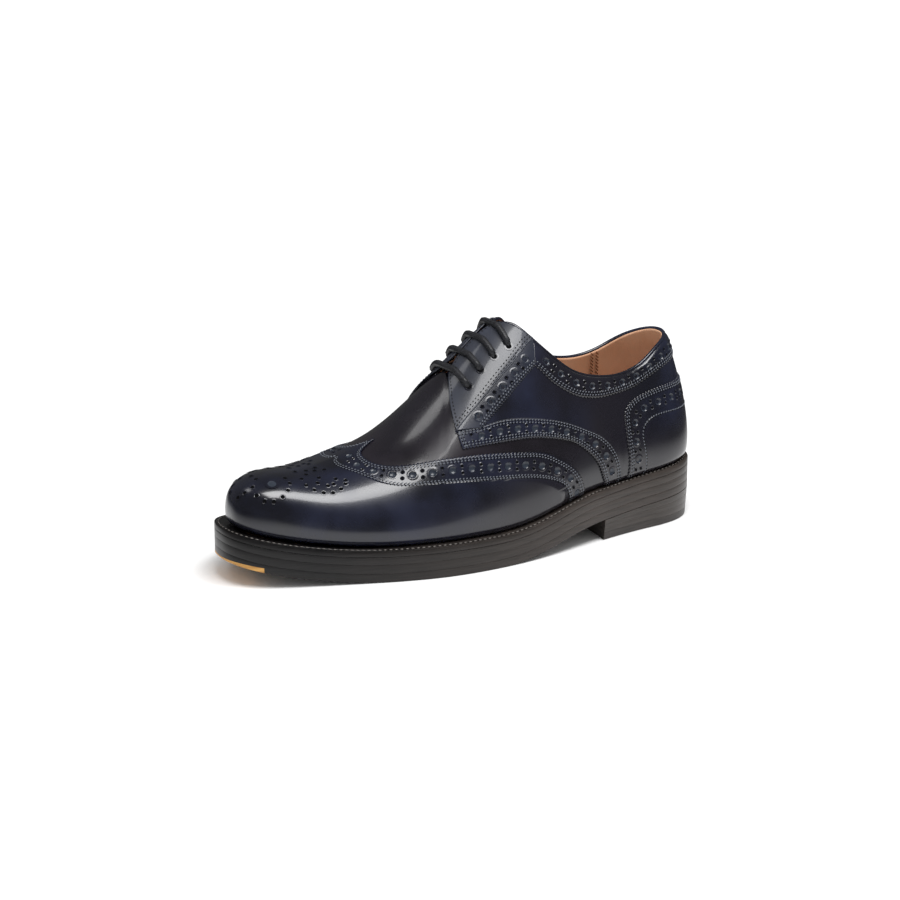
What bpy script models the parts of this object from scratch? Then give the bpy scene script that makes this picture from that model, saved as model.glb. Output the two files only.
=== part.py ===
"""A left full brogue derby with a thick leather sole, modelled piece by piece as it is made.

Lengths are in millimetres until a mesh is written, which turns them to metres.
In the shoe's own frame, along runs from the back of the heel to the toe, across
towards the outer (lateral) side of the foot, and up from the floor. In the scene the
toe points along -X, the outer side faces -Y, and the origin is the middle of the footprint.
"""

import math

import bmesh
import bpy
import numpy as np

MM = 0.001

# Driving sizes of the sole.
SOLE_LENGTH = 310.0
BALL_WIDTH = 111.0
OUTSOLE_THICK = 5.0
LOWER_MIDSOLE_THICK = 5.0
UPPER_MIDSOLE_THICK = 4.1
WELT_THICK = 3.6
WELT_LEDGE = 5.5
EDGE_ROUND = 0.5
HEEL_ROUND = 40.0
TOE_ROUND = 72.0
END_POWER = 2.3
TOE_SPRING = 13.5
TOE_LIFT_LENGTH = 92.0
TREAD_LENGTH = 50.0
TOE_TIP_LENGTH = 16.0
TOE_TIP_THICK = 3.4

# Driving sizes of the heel.
HEEL_LENGTH = 79.0
HEEL_BACK_HEIGHT = 18.5
HEEL_BREAST_HEIGHT = 12.8
TOP_PIECE_THICK = 4.6
HEEL_LIFTS = 3
HEEL_TAPER = 1.0
BREAST_HOLLOW = 3.0

# Driving sizes of the last, whose surface the shoe's outside follows.
INSTEP_HEIGHT = 130.0
BULGE = 4.0
BULGE_HEIGHT = 20.0
SPINE_HEEL = 42.0
SPINE_TOE = 74.0
FOOT_TURN = 0.08

# Driving sizes of the upper, the insole and the laces.
WALL = 1.9
PANEL = 1.2
TONGUE_THICK = 1.6
INSOLE_PROUD = 1.4
LACE = 3.2

# Clearances.
GAP = 0.3
PANEL_GAP = 0.5
TONGUE_GAP = 1.2

LATERAL, MEDIAL = 1, -1
BOTH = (LATERAL, MEDIAL)
PANEL_DEPTH = PANEL + PANEL_GAP
STATIONS = 36
RISES = 9
STATION_LINES = np.linspace(0, 1, STATIONS + 1)
NEAREST_LINE = 0.003
TONGUE_RISES = 4
HEEL_STATIONS, HEEL_WIDTHS = 9, 3
LACE_SIDES, LACE_STEPS = 8, 6


def spline(knots, values):
    """The natural cubic spline through the values, straight beyond its ends."""
    knots, values = np.asarray(knots, float), np.asarray(values, float)
    step = np.diff(knots)
    slope = np.diff(values) / step
    last = len(knots) - 1
    system, right = np.eye(last + 1), np.zeros(last + 1)
    for i in range(1, last):
        system[i, i - 1 : i + 2] = step[i - 1], 2 * (step[i - 1] + step[i]), step[i]
        right[i] = 6 * (slope[i] - slope[i - 1])
    bend = np.linalg.solve(system, right)
    start_slope = slope[0] - step[0] * bend[1] / 6
    end_slope = slope[-1] + step[-1] * bend[-2] / 6

    def at(where):
        where = np.asarray(where, float)
        i = np.clip(np.searchsorted(knots, where) - 1, 0, last - 1)
        inside = np.clip(where, knots[0], knots[-1])
        after, before = inside - knots[i], knots[i + 1] - inside
        value = (bend[i] * before**3 + bend[i + 1] * after**3) / (6 * step[i])
        value += (values[i] / step[i] - bend[i] * step[i] / 6) * before
        value += (values[i + 1] / step[i] - bend[i + 1] * step[i] / 6) * after
        value += np.minimum(where - knots[0], 0) * start_slope
        return value + np.maximum(where - knots[-1], 0) * end_slope

    return at


def curves(columns, *rows):
    """A smooth curve for each named column of a table, along its first column."""
    names, rows = columns.split(), np.array(rows, float)
    return {name: spline(rows[:, 0], rows[:, i]) for i, name in enumerate(names)}


def along_of(station):
    """Distance from the heel's back at a station from 0 to 1, closer together at the ends."""
    return SOLE_LENGTH / 2 * (1 - np.cos(np.pi * np.asarray(station, float)))


def station_of(along):
    return np.arccos(np.clip(1 - 2 * np.asarray(along, float) / SOLE_LENGTH, -1, 1)) / np.pi


def edge(*rows):
    """A panel's edge, how far up the rib of a station it lies, from rows of along and rise."""
    along, rise = np.array(rows, float).T
    return lambda station: np.interp(along_of(station) / SOLE_LENGTH, along, rise)


# Edges of the sole by share of its length: half widths as shares of the ball width, and
# the ledge that the welt leaves outside the upper, as a share of its named width.
PLAN = curves(
    "along lateral medial ledge",
    (0.00, 0.285, 0.310, 0.45),
    (0.12, 0.305, 0.330, 0.45),
    (0.25, 0.375, 0.318, 0.55),
    (0.38, 0.468, 0.290, 0.80),
    (0.50, 0.513, 0.340, 1.00),
    (0.62, 0.512, 0.438, 1.00),
    (0.72, 0.452, 0.484, 1.00),
    (0.82, 0.370, 0.484, 1.10),
    (0.91, 0.332, 0.442, 1.30),
    (1.00, 0.330, 0.395, 1.45),
)

# Sections of the last by share of the sole's length. The crown is the height of its ridge
# as a share of the instep height, and behind the facings it runs on up the leg. The ridge
# lies across as a share of the ball width. Wall and roof are the powers that round a
# section, and the bulge and its height are shares of their named sizes.
LAST = curves(
    "along crown ridge wall roof bulge height",
    (0.00, 1.540, 0.000, 2.85, 1.00, 0.45, 1.10),
    (0.12, 1.430, -0.004, 2.70, 1.00, 0.60, 1.10),
    (0.25, 1.340, -0.008, 2.15, 1.00, 0.60, 1.00),
    (0.34, 1.125, -0.010, 1.56, 0.98, 0.52, 0.90),
    (0.42, 1.030, -0.012, 1.17, 0.95, 0.50, 0.85),
    (0.50, 0.885, -0.015, 1.02, 0.93, 0.50, 0.80),
    (0.58, 0.714, -0.019, 0.96, 0.90, 0.55, 0.75),
    (0.66, 0.565, -0.025, 0.96, 0.83, 0.60, 0.70),
    (0.74, 0.490, -0.034, 0.98, 0.70, 0.60, 0.65),
    (0.83, 0.456, -0.046, 1.01, 0.54, 0.58, 0.60),
    (0.92, 0.488, -0.058, 1.07, 0.43, 0.55, 0.60),
    (1.00, 0.480, -0.070, 1.13, 0.36, 0.55, 0.60),
)

# The edge of the upper over the opening: how far up each rib of the last it lies, from 0
# at the feather edge to 1 on the ridge, down the collar and along the slot of the throat.
OPENING = curves(
    "along top",
    (0.00, 0.330),
    (0.06, 0.316),
    (0.12, 0.290),
    (0.18, 0.281),
    (0.24, 0.310),
    (0.29, 0.380),
    (0.34, 0.518),
    (0.39, 0.690),
    (0.43, 0.845),
    (0.465, 0.925),
    (0.52, 0.945),
    (0.60, 0.945),
)
SLOT_END = 0.625

# Edges of the panels, in rows of along, by share of the sole's length, and rise up the rib.
FEATHER_EDGE = edge((0, 0))
OPENING_EDGE = edge((0, 1))
WING_EDGE = edge(
    (0.300, 0.00),
    (0.318, 0.08),
    (0.355, 0.15),
    (0.412, 0.22),
    (0.503, 0.30),
    (0.600, 0.41),
    (0.678, 0.50),
    (0.768, 0.61),
    (0.815, 0.70),
    (0.845, 0.78),
    (0.862, 0.87),
    (0.872, 1.00),
)
QUARTER_EDGE = edge(
    (0.245, 0.000),
    (0.284, 0.115),
    (0.325, 0.190),
    (0.430, 0.286),
    (0.510, 0.354),
    (0.575, 0.430),
    (0.590, 0.600),
    (0.600, 0.780),
    (0.608, 0.945),
)
FACING_EDGE = edge(
    (0.368, 0.590),
    (0.408, 0.532),
    (0.454, 0.492),
    (0.500, 0.478),
    (0.548, 0.455),
    (0.582, 0.437),
    (0.597, 0.620),
    (0.607, 0.780),
    (0.615, 0.945),
)
COLLAR_EDGE = edge(
    (0.000, 0.268),
    (0.055, 0.264),
    (0.153, 0.240),
    (0.203, 0.240),
    (0.248, 0.256),
    (0.290, 0.304),
    (0.329, 0.382),
    (0.366, 0.480),
)
COUNTER_EDGE = edge(
    (0.000, 0.206),
    (0.085, 0.213),
    (0.143, 0.209),
    (0.172, 0.198),
    (0.190, 0.175),
)

# The tongue, from its top to its foot under the vamp, and how far down it reaches each side.
TONGUE_ALONG = (0.436, 0.665)
TONGUE_SIDE = 0.72

# Rows of eyelets, from the throat up: the place of each in its facing.
EYELETS = ((0.559, 0.699), (0.524, 0.722), (0.488, 0.722), (0.450, 0.704))


def smooth_step(share):
    """0 to 1, level at both ends."""
    share = np.clip(share, 0, 1)
    return share**3 * (share * (6 * share - 15) + 10)


def end_round(along):
    """The plan's width where it closes at the heel's back and the toe, as a share of it."""
    heel = np.clip(1 - along / HEEL_ROUND, 0, 1)
    toe = np.clip(1 - (SOLE_LENGTH - along) / TOE_ROUND, 0, 1)
    return (1 - heel**END_POWER) ** (1 / END_POWER) * (1 - toe**END_POWER) ** (1 / END_POWER)


def plan_point(station, side):
    """A point of the sole's edge, along and across."""
    along = along_of(station)
    share = along / SOLE_LENGTH
    half = np.where(side > 0, PLAN["lateral"](share), PLAN["medial"](share))
    return along, side * half * BALL_WIDTH * end_round(along)


def inset_point(station, side, inset):
    """The sole's edge moved inwards by the inset, square to the edge."""
    station = np.asarray(station, float)
    nudge = 1e-4
    back, front = np.maximum(station - nudge, 0), np.minimum(station + nudge, 1)
    (a0, c0), (a1, c1) = plan_point(back, side), plan_point(front, side)
    tip = (station <= 0) | (station >= 1)
    run = np.where(tip, 0, a1 - a0)
    turn = np.where(tip, np.where(station <= 0, side, -side) * 1.0, c1 - c0)
    size = np.hypot(run, turn)
    along, across = plan_point(station, side)
    return along + side * inset * turn / size, across - side * inset * run / size


def sole_rise(along):
    """Height of the outsole's underside above the floor, level under the ball."""
    slope = (HEEL_BREAST_HEIGHT - HEEL_BACK_HEIGHT) / HEEL_LENGTH
    seat = HEEL_BACK_HEIGHT + slope * along
    lift_start = SOLE_LENGTH - TOE_LIFT_LENGTH
    tread_start = lift_start - TREAD_LENGTH
    arch = seat * smooth_step((tread_start - along) / (tread_start - HEEL_LENGTH))
    return arch + TOE_SPRING * (np.maximum(along - lift_start, 0) / TOE_LIFT_LENGTH) ** 2


# Heights above the outsole's underside at which each layer starts.
LOWER_MIDSOLE_FLOOR = OUTSOLE_THICK + GAP
UPPER_MIDSOLE_FLOOR = LOWER_MIDSOLE_FLOOR + LOWER_MIDSOLE_THICK + GAP
WELT_FLOOR = UPPER_MIDSOLE_FLOOR + UPPER_MIDSOLE_THICK + GAP
FEATHER = WELT_FLOOR + WELT_THICK + GAP


def ledge(station):
    return WELT_LEDGE * PLAN["ledge"](along_of(station) / SOLE_LENGTH)


def last_point(station, angle, side):
    """The last's surface from its feather edge, angle 0, to its ridge, angle 1."""
    along, across = inset_point(station, side, ledge(station))
    share = along_of(station) / SOLE_LENGTH
    spine = SPINE_HEEL + (SOLE_LENGTH - SPINE_TOE - SPINE_HEEL) * share
    ridge = LAST["ridge"](spine / SOLE_LENGTH) * BALL_WIDTH
    turn = np.pi / 2 * np.asarray(angle, float)
    reach = np.maximum(np.cos(turn), 0) ** LAST["wall"](share)
    climb = np.sin(turn) ** LAST["roof"](share)
    floor = sole_rise(along) + FEATHER
    crown = LAST["crown"]((spine + (along - spine) * reach) / SOLE_LENGTH) * INSTEP_HEIGHT
    rise = (crown - floor) * climb
    swell = rise / (BULGE_HEIGHT * LAST["height"](share))
    proud = BULGE * LAST["bulge"](share) * swell * np.exp(1 - swell) * (1 - climb)
    size = np.hypot(along - spine, across - ridge)
    reach = reach + proud / size
    return np.stack(
        np.broadcast_arrays(
            spine + (along - spine) * reach,
            ridge + (across - ridge) * reach,
            sole_rise(along) * (1 - climb) + FEATHER * (1 - climb) + crown * climb,
        ),
        axis=-1,
    )


def skin_point(station, angle, side, proud):
    """The last's surface moved outwards, and level with the welt at the feather edge."""
    station, angle = np.broadcast_arrays(np.round(station, 6), np.round(angle, 6))
    nudge = 1e-3
    s0, s1 = np.maximum(station - nudge, 0), np.minimum(station + nudge, 1)
    a0, a1 = np.maximum(angle - nudge, 0), np.minimum(angle + nudge, 1)
    forward = last_point(s1, angle, side) - last_point(s0, angle, side)
    upward = last_point(station, a1, side) - last_point(station, a0, side)
    normal = np.cross(upward, forward) * side
    nothing = np.zeros(station.shape)
    for where, run, turn in (
        (station <= 0, upward, -1),
        (station >= 1, upward, 1),
        (angle >= 1, forward, -1),
    ):
        in_line = np.stack([run[..., 2] * turn, nothing, run[..., 0] * -turn], axis=-1)
        normal = np.where(where[..., None], in_line, normal)
    normal[..., 2] *= np.minimum(angle / FOOT_TURN, 1)
    normal /= np.linalg.norm(normal, axis=-1, keepdims=True)
    return last_point(station, angle, side) + normal * proud


def opening(station):
    """How far up its rib the upper reaches."""
    share = along_of(station) / SOLE_LENGTH
    return np.where(share < SLOT_END, np.minimum(OPENING["top"](share), 1), 1.0)


def rows(station):
    """The heights up a rib at which the upper has its points."""
    return np.linspace(0, 1, RISES + 1) * opening(station)


def stations_between(first, last, *more):
    """The upper's own stations between two places along, with both and any more of them."""
    ends = station_of(np.array([first, last, *more]) * SOLE_LENGTH)
    lines = STATION_LINES[STATION_LINES > ends[0] + NEAREST_LINE]
    inside = lines[lines < ends[1] - NEAREST_LINE]
    return np.unique(np.concatenate([inside, ends]))[:, None]


def sole_point(station, side, inset, height):
    """A point beside or inside the sole's edge, at a height over the outsole's underside."""
    along, across = inset_point(station, side, inset)
    return np.stack([along, across, sole_rise(along) + height], axis=-1)


def middle_across():
    """The middle of the sole's width, which becomes the origin."""
    stations = np.linspace(0, 1, 401)
    return (plan_point(stations, LATERAL)[1].max() + plan_point(stations, MEDIAL)[1].min()) / 2


def into_scene(points):
    """Points of the shoe's frame as metres in the scene's frame."""
    along, across, up = np.moveaxis(np.asarray(points, float), -1, 0)
    turned = [SOLE_LENGTH / 2 - along, MIDDLE - across, up]
    return np.stack(turned, axis=-1) * MM


def finish(colour, roughness, coat=0.0, metal=0.0):
    material = bpy.data.materials.new("finish")
    material.use_nodes = True
    shader = material.node_tree.nodes["Principled BSDF"]
    shader.inputs["Base Color"].default_value = (*colour, 1)
    shader.inputs["Roughness"].default_value = roughness
    shader.inputs["Coat Weight"].default_value = coat
    shader.inputs["Metallic"].default_value = metal
    return material


def add_object(name, mesh, material):
    mesh.materials.append(material)
    piece = bpy.data.objects.new(name, mesh)
    bpy.context.collection.objects.link(piece)
    return piece


def solid(name, grids, material):
    """One closed solid from grids of points whose borders meet, shaded smooth."""
    form = bmesh.new()
    corners = {}

    def corner(point):
        key = tuple(np.round(point / MM, 3))
        if key not in corners:
            corners[key] = form.verts.new(point)
        return corners[key]

    for grid in grids:
        rows = [[corner(point) for point in row] for row in into_scene(grid)]
        for near, far in zip(rows, rows[1:]):
            for quad in zip(near, near[1:], far[1:], far):
                ring = list(dict.fromkeys(quad))
                if len(ring) > 2:
                    form.faces.new(ring)
    bmesh.ops.recalc_face_normals(form, faces=form.faces)
    mesh = bpy.data.meshes.new(name)
    form.to_mesh(mesh)
    form.free()
    mesh.shade_smooth()
    mesh.set_sharp_from_angle(angle=math.radians(40))
    return add_object(name, mesh, material)


def rims(outer, inner, joined):
    """The strips that close a wall between its outer and inner grids, left out where joined."""
    strips = []
    for line_out, line_in, meets in (
        (outer[0], inner[0], joined[0]),
        (outer[-1], inner[-1], joined[-1]),
        (outer[:, 0], inner[:, 0], joined[:, 0]),
        (outer[:, -1], inner[:, -1], joined[:, -1]),
    ):
        for i in range(len(line_out) - 1):
            if not (meets[i] and meets[i + 1]):
                strips.append(np.stack([line_out[i : i + 2], line_in[i : i + 2]]))
    return strips


def wall(name, sides, skin, outside, thick, material):
    """A wall of one thickness on the last, from a function that gives its skin on a side."""
    outer = {side: skin(side, outside) for side in sides}
    inner = {side: skin(side, outside - thick) for side in sides}
    grids = []
    for side in sides:
        joined = np.zeros(outer[side].shape[:2], bool)
        if -side in sides:
            joined = np.linalg.norm(outer[side] - outer[-side], axis=-1) < 1e-3
        grids += [outer[side], inner[side], *rims(outer[side], inner[side], joined)]
    return solid(name, grids, material)


def plate(name, rings, stations, material):
    """A layer of the sole through rings of inset and height, from its lowest to its highest."""
    walls = np.array([[sole_point(stations, side, *ring) for ring in rings] for side in BOTH])
    faces = [walls[:, 0], walls[:, -1], walls[:, :, 0], walls[:, :, -1]]
    return solid(name, [*walls, *faces], material)


def edge_rings(inset, floor, thick):
    """The rings of a layer whose edge is rounded over at its two corners."""
    return (
        (inset + EDGE_ROUND, floor),
        (inset, floor + EDGE_ROUND),
        (inset, floor + thick - EDGE_ROUND),
        (inset + EDGE_ROUND, floor + thick),
    )


def build_outsole():
    """The outsole, with its toe cut away underneath for the toe tip."""
    stations = STATION_LINES
    cut = np.argmin(abs(along_of(stations) - (SOLE_LENGTH - TOE_TIP_LENGTH)))
    back, front = stations[: cut + 1], stations[cut:]
    low, *_, high, top = edge_rings(0, 0, OUTSOLE_THICK)
    step = (0, TOE_TIP_THICK + GAP)
    back_rings = (low, (0, EDGE_ROUND), step, high, top)
    front_rings = back_rings[2:]
    grids = []
    for side in BOTH:
        grids.append(np.array([sole_point(back, side, *ring) for ring in back_rings]))
        grids.append(np.array([sole_point(front, side, *ring) for ring in front_rings]))
    for span, ring in ((back, low), (front, step), (stations, top)):
        grids.append(np.stack([sole_point(span, side, *ring) for side in BOTH]))
    notch = [[sole_point(back[-1], side, *ring) for ring in back_rings[:3]] for side in BOTH]
    grids.append(np.array(notch))
    solid("outsole", grids, EDGE_BLACK)
    tip = np.linspace(station_of(along_of(stations[cut]) + GAP), 1, len(front))
    rings = ((EDGE_ROUND, 0), (0, EDGE_ROUND), (0, TOE_TIP_THICK))
    plate("toe_tip", rings, tip, TAN_LEATHER)


def build_welt():
    """The welt, a strip round the sole that the foot of the upper stands on."""
    stations = STATION_LINES
    inside = ledge(stations) + PANEL_DEPTH + WALL
    floor, top = WELT_FLOOR, WELT_FLOOR + WELT_THICK
    outside = ((0, floor), (0, top - EDGE_ROUND), (EDGE_ROUND, top))
    profile = [*outside, (inside, top), (inside, floor), outside[0]]
    grids = [
        np.array([sole_point(stations, side, *ring) for ring in profile]) for side in BOTH
    ]
    solid("welt", grids, EDGE_BLACK)


def build_sole():
    stations = STATION_LINES
    build_outsole()
    for name, floor, thick in (
        ("lower_midsole", LOWER_MIDSOLE_FLOOR, LOWER_MIDSOLE_THICK),
        ("upper_midsole", UPPER_MIDSOLE_FLOOR, UPPER_MIDSOLE_THICK),
    ):
        plate(name, edge_rings(0, floor, thick), stations, EDGE_BLACK)
    build_welt()
    inside = ledge(stations) + PANEL_DEPTH + WALL + GAP
    thick = WELT_THICK + INSOLE_PROUD
    rings = (
        (inside, WELT_FLOOR),
        (inside, WELT_FLOOR + thick - EDGE_ROUND),
        (inside + EDGE_ROUND, WELT_FLOOR + thick),
    )
    plate("insole", rings, stations, INSOLE_TAN)


def build_heel():
    """The heel's lifts and the top piece on the floor, with a hollowed breast."""
    stations = np.linspace(0, station_of(HEEL_LENGTH), HEEL_STATIONS + 1)
    shares = np.linspace(0, 1, HEEL_WIDTHS + 1)

    def level(inset, height):
        (a0, c0), (a1, c1) = (inset_point(stations, side, inset) for side in BOTH)
        along = a0[:, None] * (1 - shares) + a1[:, None] * shares
        across = c0[:, None] * (1 - shares) + c1[:, None] * shares
        hollow = 4 * shares * (1 - shares) * (stations[:, None] / stations[-1]) ** 4
        along = along - BREAST_HOLLOW * hollow
        return np.stack([along, across, height(along)], axis=-1)

    def layer(name, low_share, high_share, floor, top, material):
        low, high = HEEL_TAPER * (1 - low_share), HEEL_TAPER * (1 - high_share)
        levels = [
            level(low + EDGE_ROUND, floor),
            level(low, lambda along: floor(along) + EDGE_ROUND),
            level(high, lambda along: top(along) - EDGE_ROUND),
            level(high + EDGE_ROUND, top),
        ]
        sides = [np.array([each[:, end] for each in levels]) for end in (0, -1)]
        breast = np.array([each[-1] for each in levels])
        solid(name, [levels[0], levels[-1], *sides, breast], material)

    def height_at(share):
        """A height between the top piece and the outsole, less the gap under the outsole."""
        return lambda along: TOP_PIECE_THICK + (sole_rise(along) - TOP_PIECE_THICK - GAP) * share

    flat, first = lambda along: along * 0, 0.25
    layer("heel_top_piece", 0, first, flat, height_at(0), EDGE_BLACK)
    for i in range(HEEL_LIFTS):
        low, high = i / HEEL_LIFTS, (i + 1) / HEEL_LIFTS
        floor = height_at(low)
        lift = (
            first + (1 - first) * low,
            first + (1 - first) * high,
            lambda along, floor=floor: floor(along) + GAP,
            height_at(high),
        )
        layer(f"heel_lift_{i + 1}", *lift, HEEL_BROWN)


def build_upper():
    """The one hollow wall of vamp and quarters, open at the collar, the throat and below."""
    stations = STATION_LINES[:, None]

    def skin(side, proud):
        return skin_point(stations, rows(stations), side, proud)

    wall("upper", BOTH, skin, -PANEL_DEPTH, WALL, NAVY)


def build_panels():
    """The leather pieces sewn over the upper, each cut from its wall between two edges."""
    wing = stations_between(0.300, 1, 0.314, 0.845, 0.865)
    quarter = stations_between(0, 0.608, 0.265, 0.590, 0.600)
    facing = stations_between(0.368, 0.615, 0.597, 0.607)
    collar, counter = stations_between(0, 0.366), stations_between(0, 0.190)
    first, second = 0.0, PANEL_DEPTH
    for name, sides, stations, low, high, outside in (
        ("wing_cap", BOTH, wing, FEATHER_EDGE, WING_EDGE, first),
        ("quarter_lateral", (LATERAL,), quarter, QUARTER_EDGE, OPENING_EDGE, first),
        ("quarter_medial", (MEDIAL,), quarter, QUARTER_EDGE, OPENING_EDGE, first),
        ("facing_lateral", (LATERAL,), facing, FACING_EDGE, OPENING_EDGE, second),
        ("facing_medial", (MEDIAL,), facing, FACING_EDGE, OPENING_EDGE, second),
        ("collar_band", BOTH, collar, COLLAR_EDGE, OPENING_EDGE, second),
        ("counter", BOTH, counter, FEATHER_EDGE, COUNTER_EDGE, second),
    ):
        rise = np.clip(rows(stations), low(stations), np.minimum(high(stations), opening(stations)))

        def skin(side, proud, stations=stations, rise=rise):
            return skin_point(stations, rise, side, proud)

        wall(name, sides, skin, outside, PANEL, NAVY)


def build_tongue():
    """The tongue under the throat, clear of the wall that it lies inside."""
    stations = stations_between(*TONGUE_ALONG)
    rise = np.linspace(TONGUE_SIDE, 1, TONGUE_RISES + 1)[None, :]

    def skin(side, proud):
        return skin_point(stations, rise, side, proud)

    wall("tongue", BOTH, skin, -PANEL_DEPTH - WALL - TONGUE_GAP, TONGUE_THICK, NAVY)


def lace_route(along, rise, proud):
    """A bar of lace straight across the throat, from eyelet to eyelet over the facings."""
    eyelet = last_point(station_of(along * SOLE_LENGTH), rise, LATERAL)[0]
    ridge_along = (eyelet - SPINE_HEEL) / (SOLE_LENGTH - SPINE_TOE - SPINE_HEEL)
    share = np.linspace(0, 1, LACE_STEPS + 1)
    station = station_of((along + (ridge_along - along) * share) * SOLE_LENGTH)
    halves = [skin_point(station, rise + (1 - rise) * share, side, proud) for side in BOTH]
    return np.concatenate([halves[0], halves[1][-2::-1]])


def build_laces():
    """The four bars of lace, round and closed at their ends."""
    proud = PANEL_DEPTH + GAP + LACE / 2
    turn = np.linspace(0, 2 * np.pi, LACE_SIDES + 1)[:, None]
    for number, (along, rise) in enumerate(EYELETS, 1):
        route = lace_route(along, rise, proud)
        run = np.gradient(route, axis=0)
        run /= np.linalg.norm(run, axis=1)[:, None]
        fore = np.cross(run, (0, 0, 1))
        fore /= np.linalg.norm(fore, axis=1)[:, None]
        over = np.cross(fore, run)
        around = fore[:, None] * np.cos(turn) + over[:, None] * np.sin(turn)
        rings = route[:, None] + around * LACE / 2
        ends = [np.stack([rings[i], np.broadcast_to(route[i], rings[i].shape)]) for i in (0, -1)]
        solid(f"lace_bar_{number}", [rings, *ends], LACE_BLACK)


for old in list(bpy.data.objects):
    bpy.data.objects.remove(old)

MIDDLE = middle_across()
NAVY = finish((0.010, 0.012, 0.030), 0.22, coat=0.5)
EDGE_BLACK = finish((0.020, 0.018, 0.018), 0.38)
HEEL_BROWN = finish((0.045, 0.040, 0.038), 0.42)
TAN_LEATHER = finish((0.520, 0.270, 0.090), 0.55)
INSOLE_TAN = finish((0.500, 0.250, 0.110), 0.50)
LACE_BLACK = finish((0.012, 0.012, 0.013), 0.60)

build_sole()
build_heel()
build_upper()
build_panels()
build_tongue()
build_laces()
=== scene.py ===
# %% [markdown]
# A full brogue derby, a left shoe of dark navy calf on a thick leather sole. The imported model
# is the frame: its solids keep the collision and the weight, and the pieces made here give
# the leather, its punched and stitched overlays, the lining, the laces and the sole's edge.
# Every piece is laid on the same last that the model was made on, so nothing needs fitting.

import math

import bmesh
import bpy
import numpy as np
from mathutils import Matrix, Vector, kdtree


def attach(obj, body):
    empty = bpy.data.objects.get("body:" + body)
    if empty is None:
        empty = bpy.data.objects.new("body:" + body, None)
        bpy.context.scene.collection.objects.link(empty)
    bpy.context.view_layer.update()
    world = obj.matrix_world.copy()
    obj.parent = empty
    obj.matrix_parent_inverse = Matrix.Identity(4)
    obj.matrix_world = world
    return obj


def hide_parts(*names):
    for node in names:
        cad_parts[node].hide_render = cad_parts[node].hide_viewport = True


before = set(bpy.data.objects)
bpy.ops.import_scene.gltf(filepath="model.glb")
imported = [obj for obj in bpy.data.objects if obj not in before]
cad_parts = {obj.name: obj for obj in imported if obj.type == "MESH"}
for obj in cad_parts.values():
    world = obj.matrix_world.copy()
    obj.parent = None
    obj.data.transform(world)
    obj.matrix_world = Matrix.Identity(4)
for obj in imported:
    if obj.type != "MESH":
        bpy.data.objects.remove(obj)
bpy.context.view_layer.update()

# %% [markdown]
# A shoemaker starts from a last. Its surface could be sculpted, but a few sizes and two
# tables say it better: the sole's edge and the sections of the last between it and the
# ridge of the instep. Lengths are in millimetres, along runs from the heel's back to the
# toe, across towards the outer side of the foot, and up from the floor.

# %% The sizes of the shoe
MM = 0.001
# Sizes of the sole.
SOLE_LENGTH = 310.0
BALL_WIDTH = 111.0
OUTSOLE_THICK = 5.0
LOWER_MIDSOLE_THICK = 5.0
UPPER_MIDSOLE_THICK = 4.1
WELT_THICK = 3.6
WELT_LEDGE = 5.5
HEEL_ROUND = 40.0
TOE_ROUND = 72.0
END_POWER = 2.3
TOE_SPRING = 13.5
TOE_LIFT_LENGTH = 92.0
TREAD_LENGTH = 50.0
TOE_TIP_LENGTH = 16.0

# Sizes of the heel.
HEEL_LENGTH = 79.0
HEEL_BACK_HEIGHT = 18.5
HEEL_BREAST_HEIGHT = 12.8
TOP_PIECE_THICK = 4.6
HEEL_LIFTS = 3
HEEL_TAPER = 1.0
BREAST_HOLLOW = 3.0

# Sizes of the last, whose surface the shoe's outside follows.
INSTEP_HEIGHT = 130.0
BULGE = 4.0
BULGE_HEIGHT = 20.0
SPINE_HEEL = 42.0
SPINE_TOE = 74.0
FOOT_TURN = 0.08

# Sizes of the tongue, the insole and the lace.
TONGUE_THICK = 1.6
INSOLE_PROUD = 1.4
LACE = 3.9

# The clearance between the model's layers, which the leather here closes.
GAP = 0.3

LATERAL, MEDIAL = 1, -1
BOTH = (LATERAL, MEDIAL)
SIDES = ((LATERAL, "lateral"), (MEDIAL, "medial"))

# %% [markdown]
# Smooth lines need few numbers when a curve runs through them. A table gives a value every
# so often along the shoe, and a natural cubic spline fills in the rest without any kinks.

# %% Curves through tables
def spline(knots, values):
    """The natural cubic spline through the values, straight beyond its ends."""
    knots, values = np.asarray(knots, float), np.asarray(values, float)
    step = np.diff(knots)
    slope = np.diff(values) / step
    last = len(knots) - 1
    system, right = np.eye(last + 1), np.zeros(last + 1)
    for i in range(1, last):
        system[i, i - 1 : i + 2] = step[i - 1], 2 * (step[i - 1] + step[i]), step[i]
        right[i] = 6 * (slope[i] - slope[i - 1])
    bend = np.linalg.solve(system, right)
    start_slope = slope[0] - step[0] * bend[1] / 6
    end_slope = slope[-1] + step[-1] * bend[-2] / 6

    def at(where):
        where = np.asarray(where, float)
        i = np.clip(np.searchsorted(knots, where) - 1, 0, last - 1)
        inside = np.clip(where, knots[0], knots[-1])
        after, before = inside - knots[i], knots[i + 1] - inside
        value = (bend[i] * before**3 + bend[i + 1] * after**3) / (6 * step[i])
        value += (values[i] / step[i] - bend[i] * step[i] / 6) * before
        value += (values[i + 1] / step[i] - bend[i + 1] * step[i] / 6) * after
        value += np.minimum(where - knots[0], 0) * start_slope
        return value + np.maximum(where - knots[-1], 0) * end_slope

    return at


def curves(columns, *rows):
    """A smooth curve for each named column of a table, along its first column."""
    names, rows = columns.split(), np.array(rows, float)
    return {name: spline(rows[:, 0], rows[:, i]) for i, name in enumerate(names)}


def along_of(station):
    """Distance from the heel's back at a station from 0 to 1, closer together at the ends."""
    return SOLE_LENGTH / 2 * (1 - np.cos(np.pi * np.asarray(station, float)))


def station_of(along):
    """The station at a distance from the heel's back."""
    return np.arccos(np.clip(1 - 2 * np.asarray(along, float) / SOLE_LENGTH, -1, 1)) / np.pi


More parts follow.
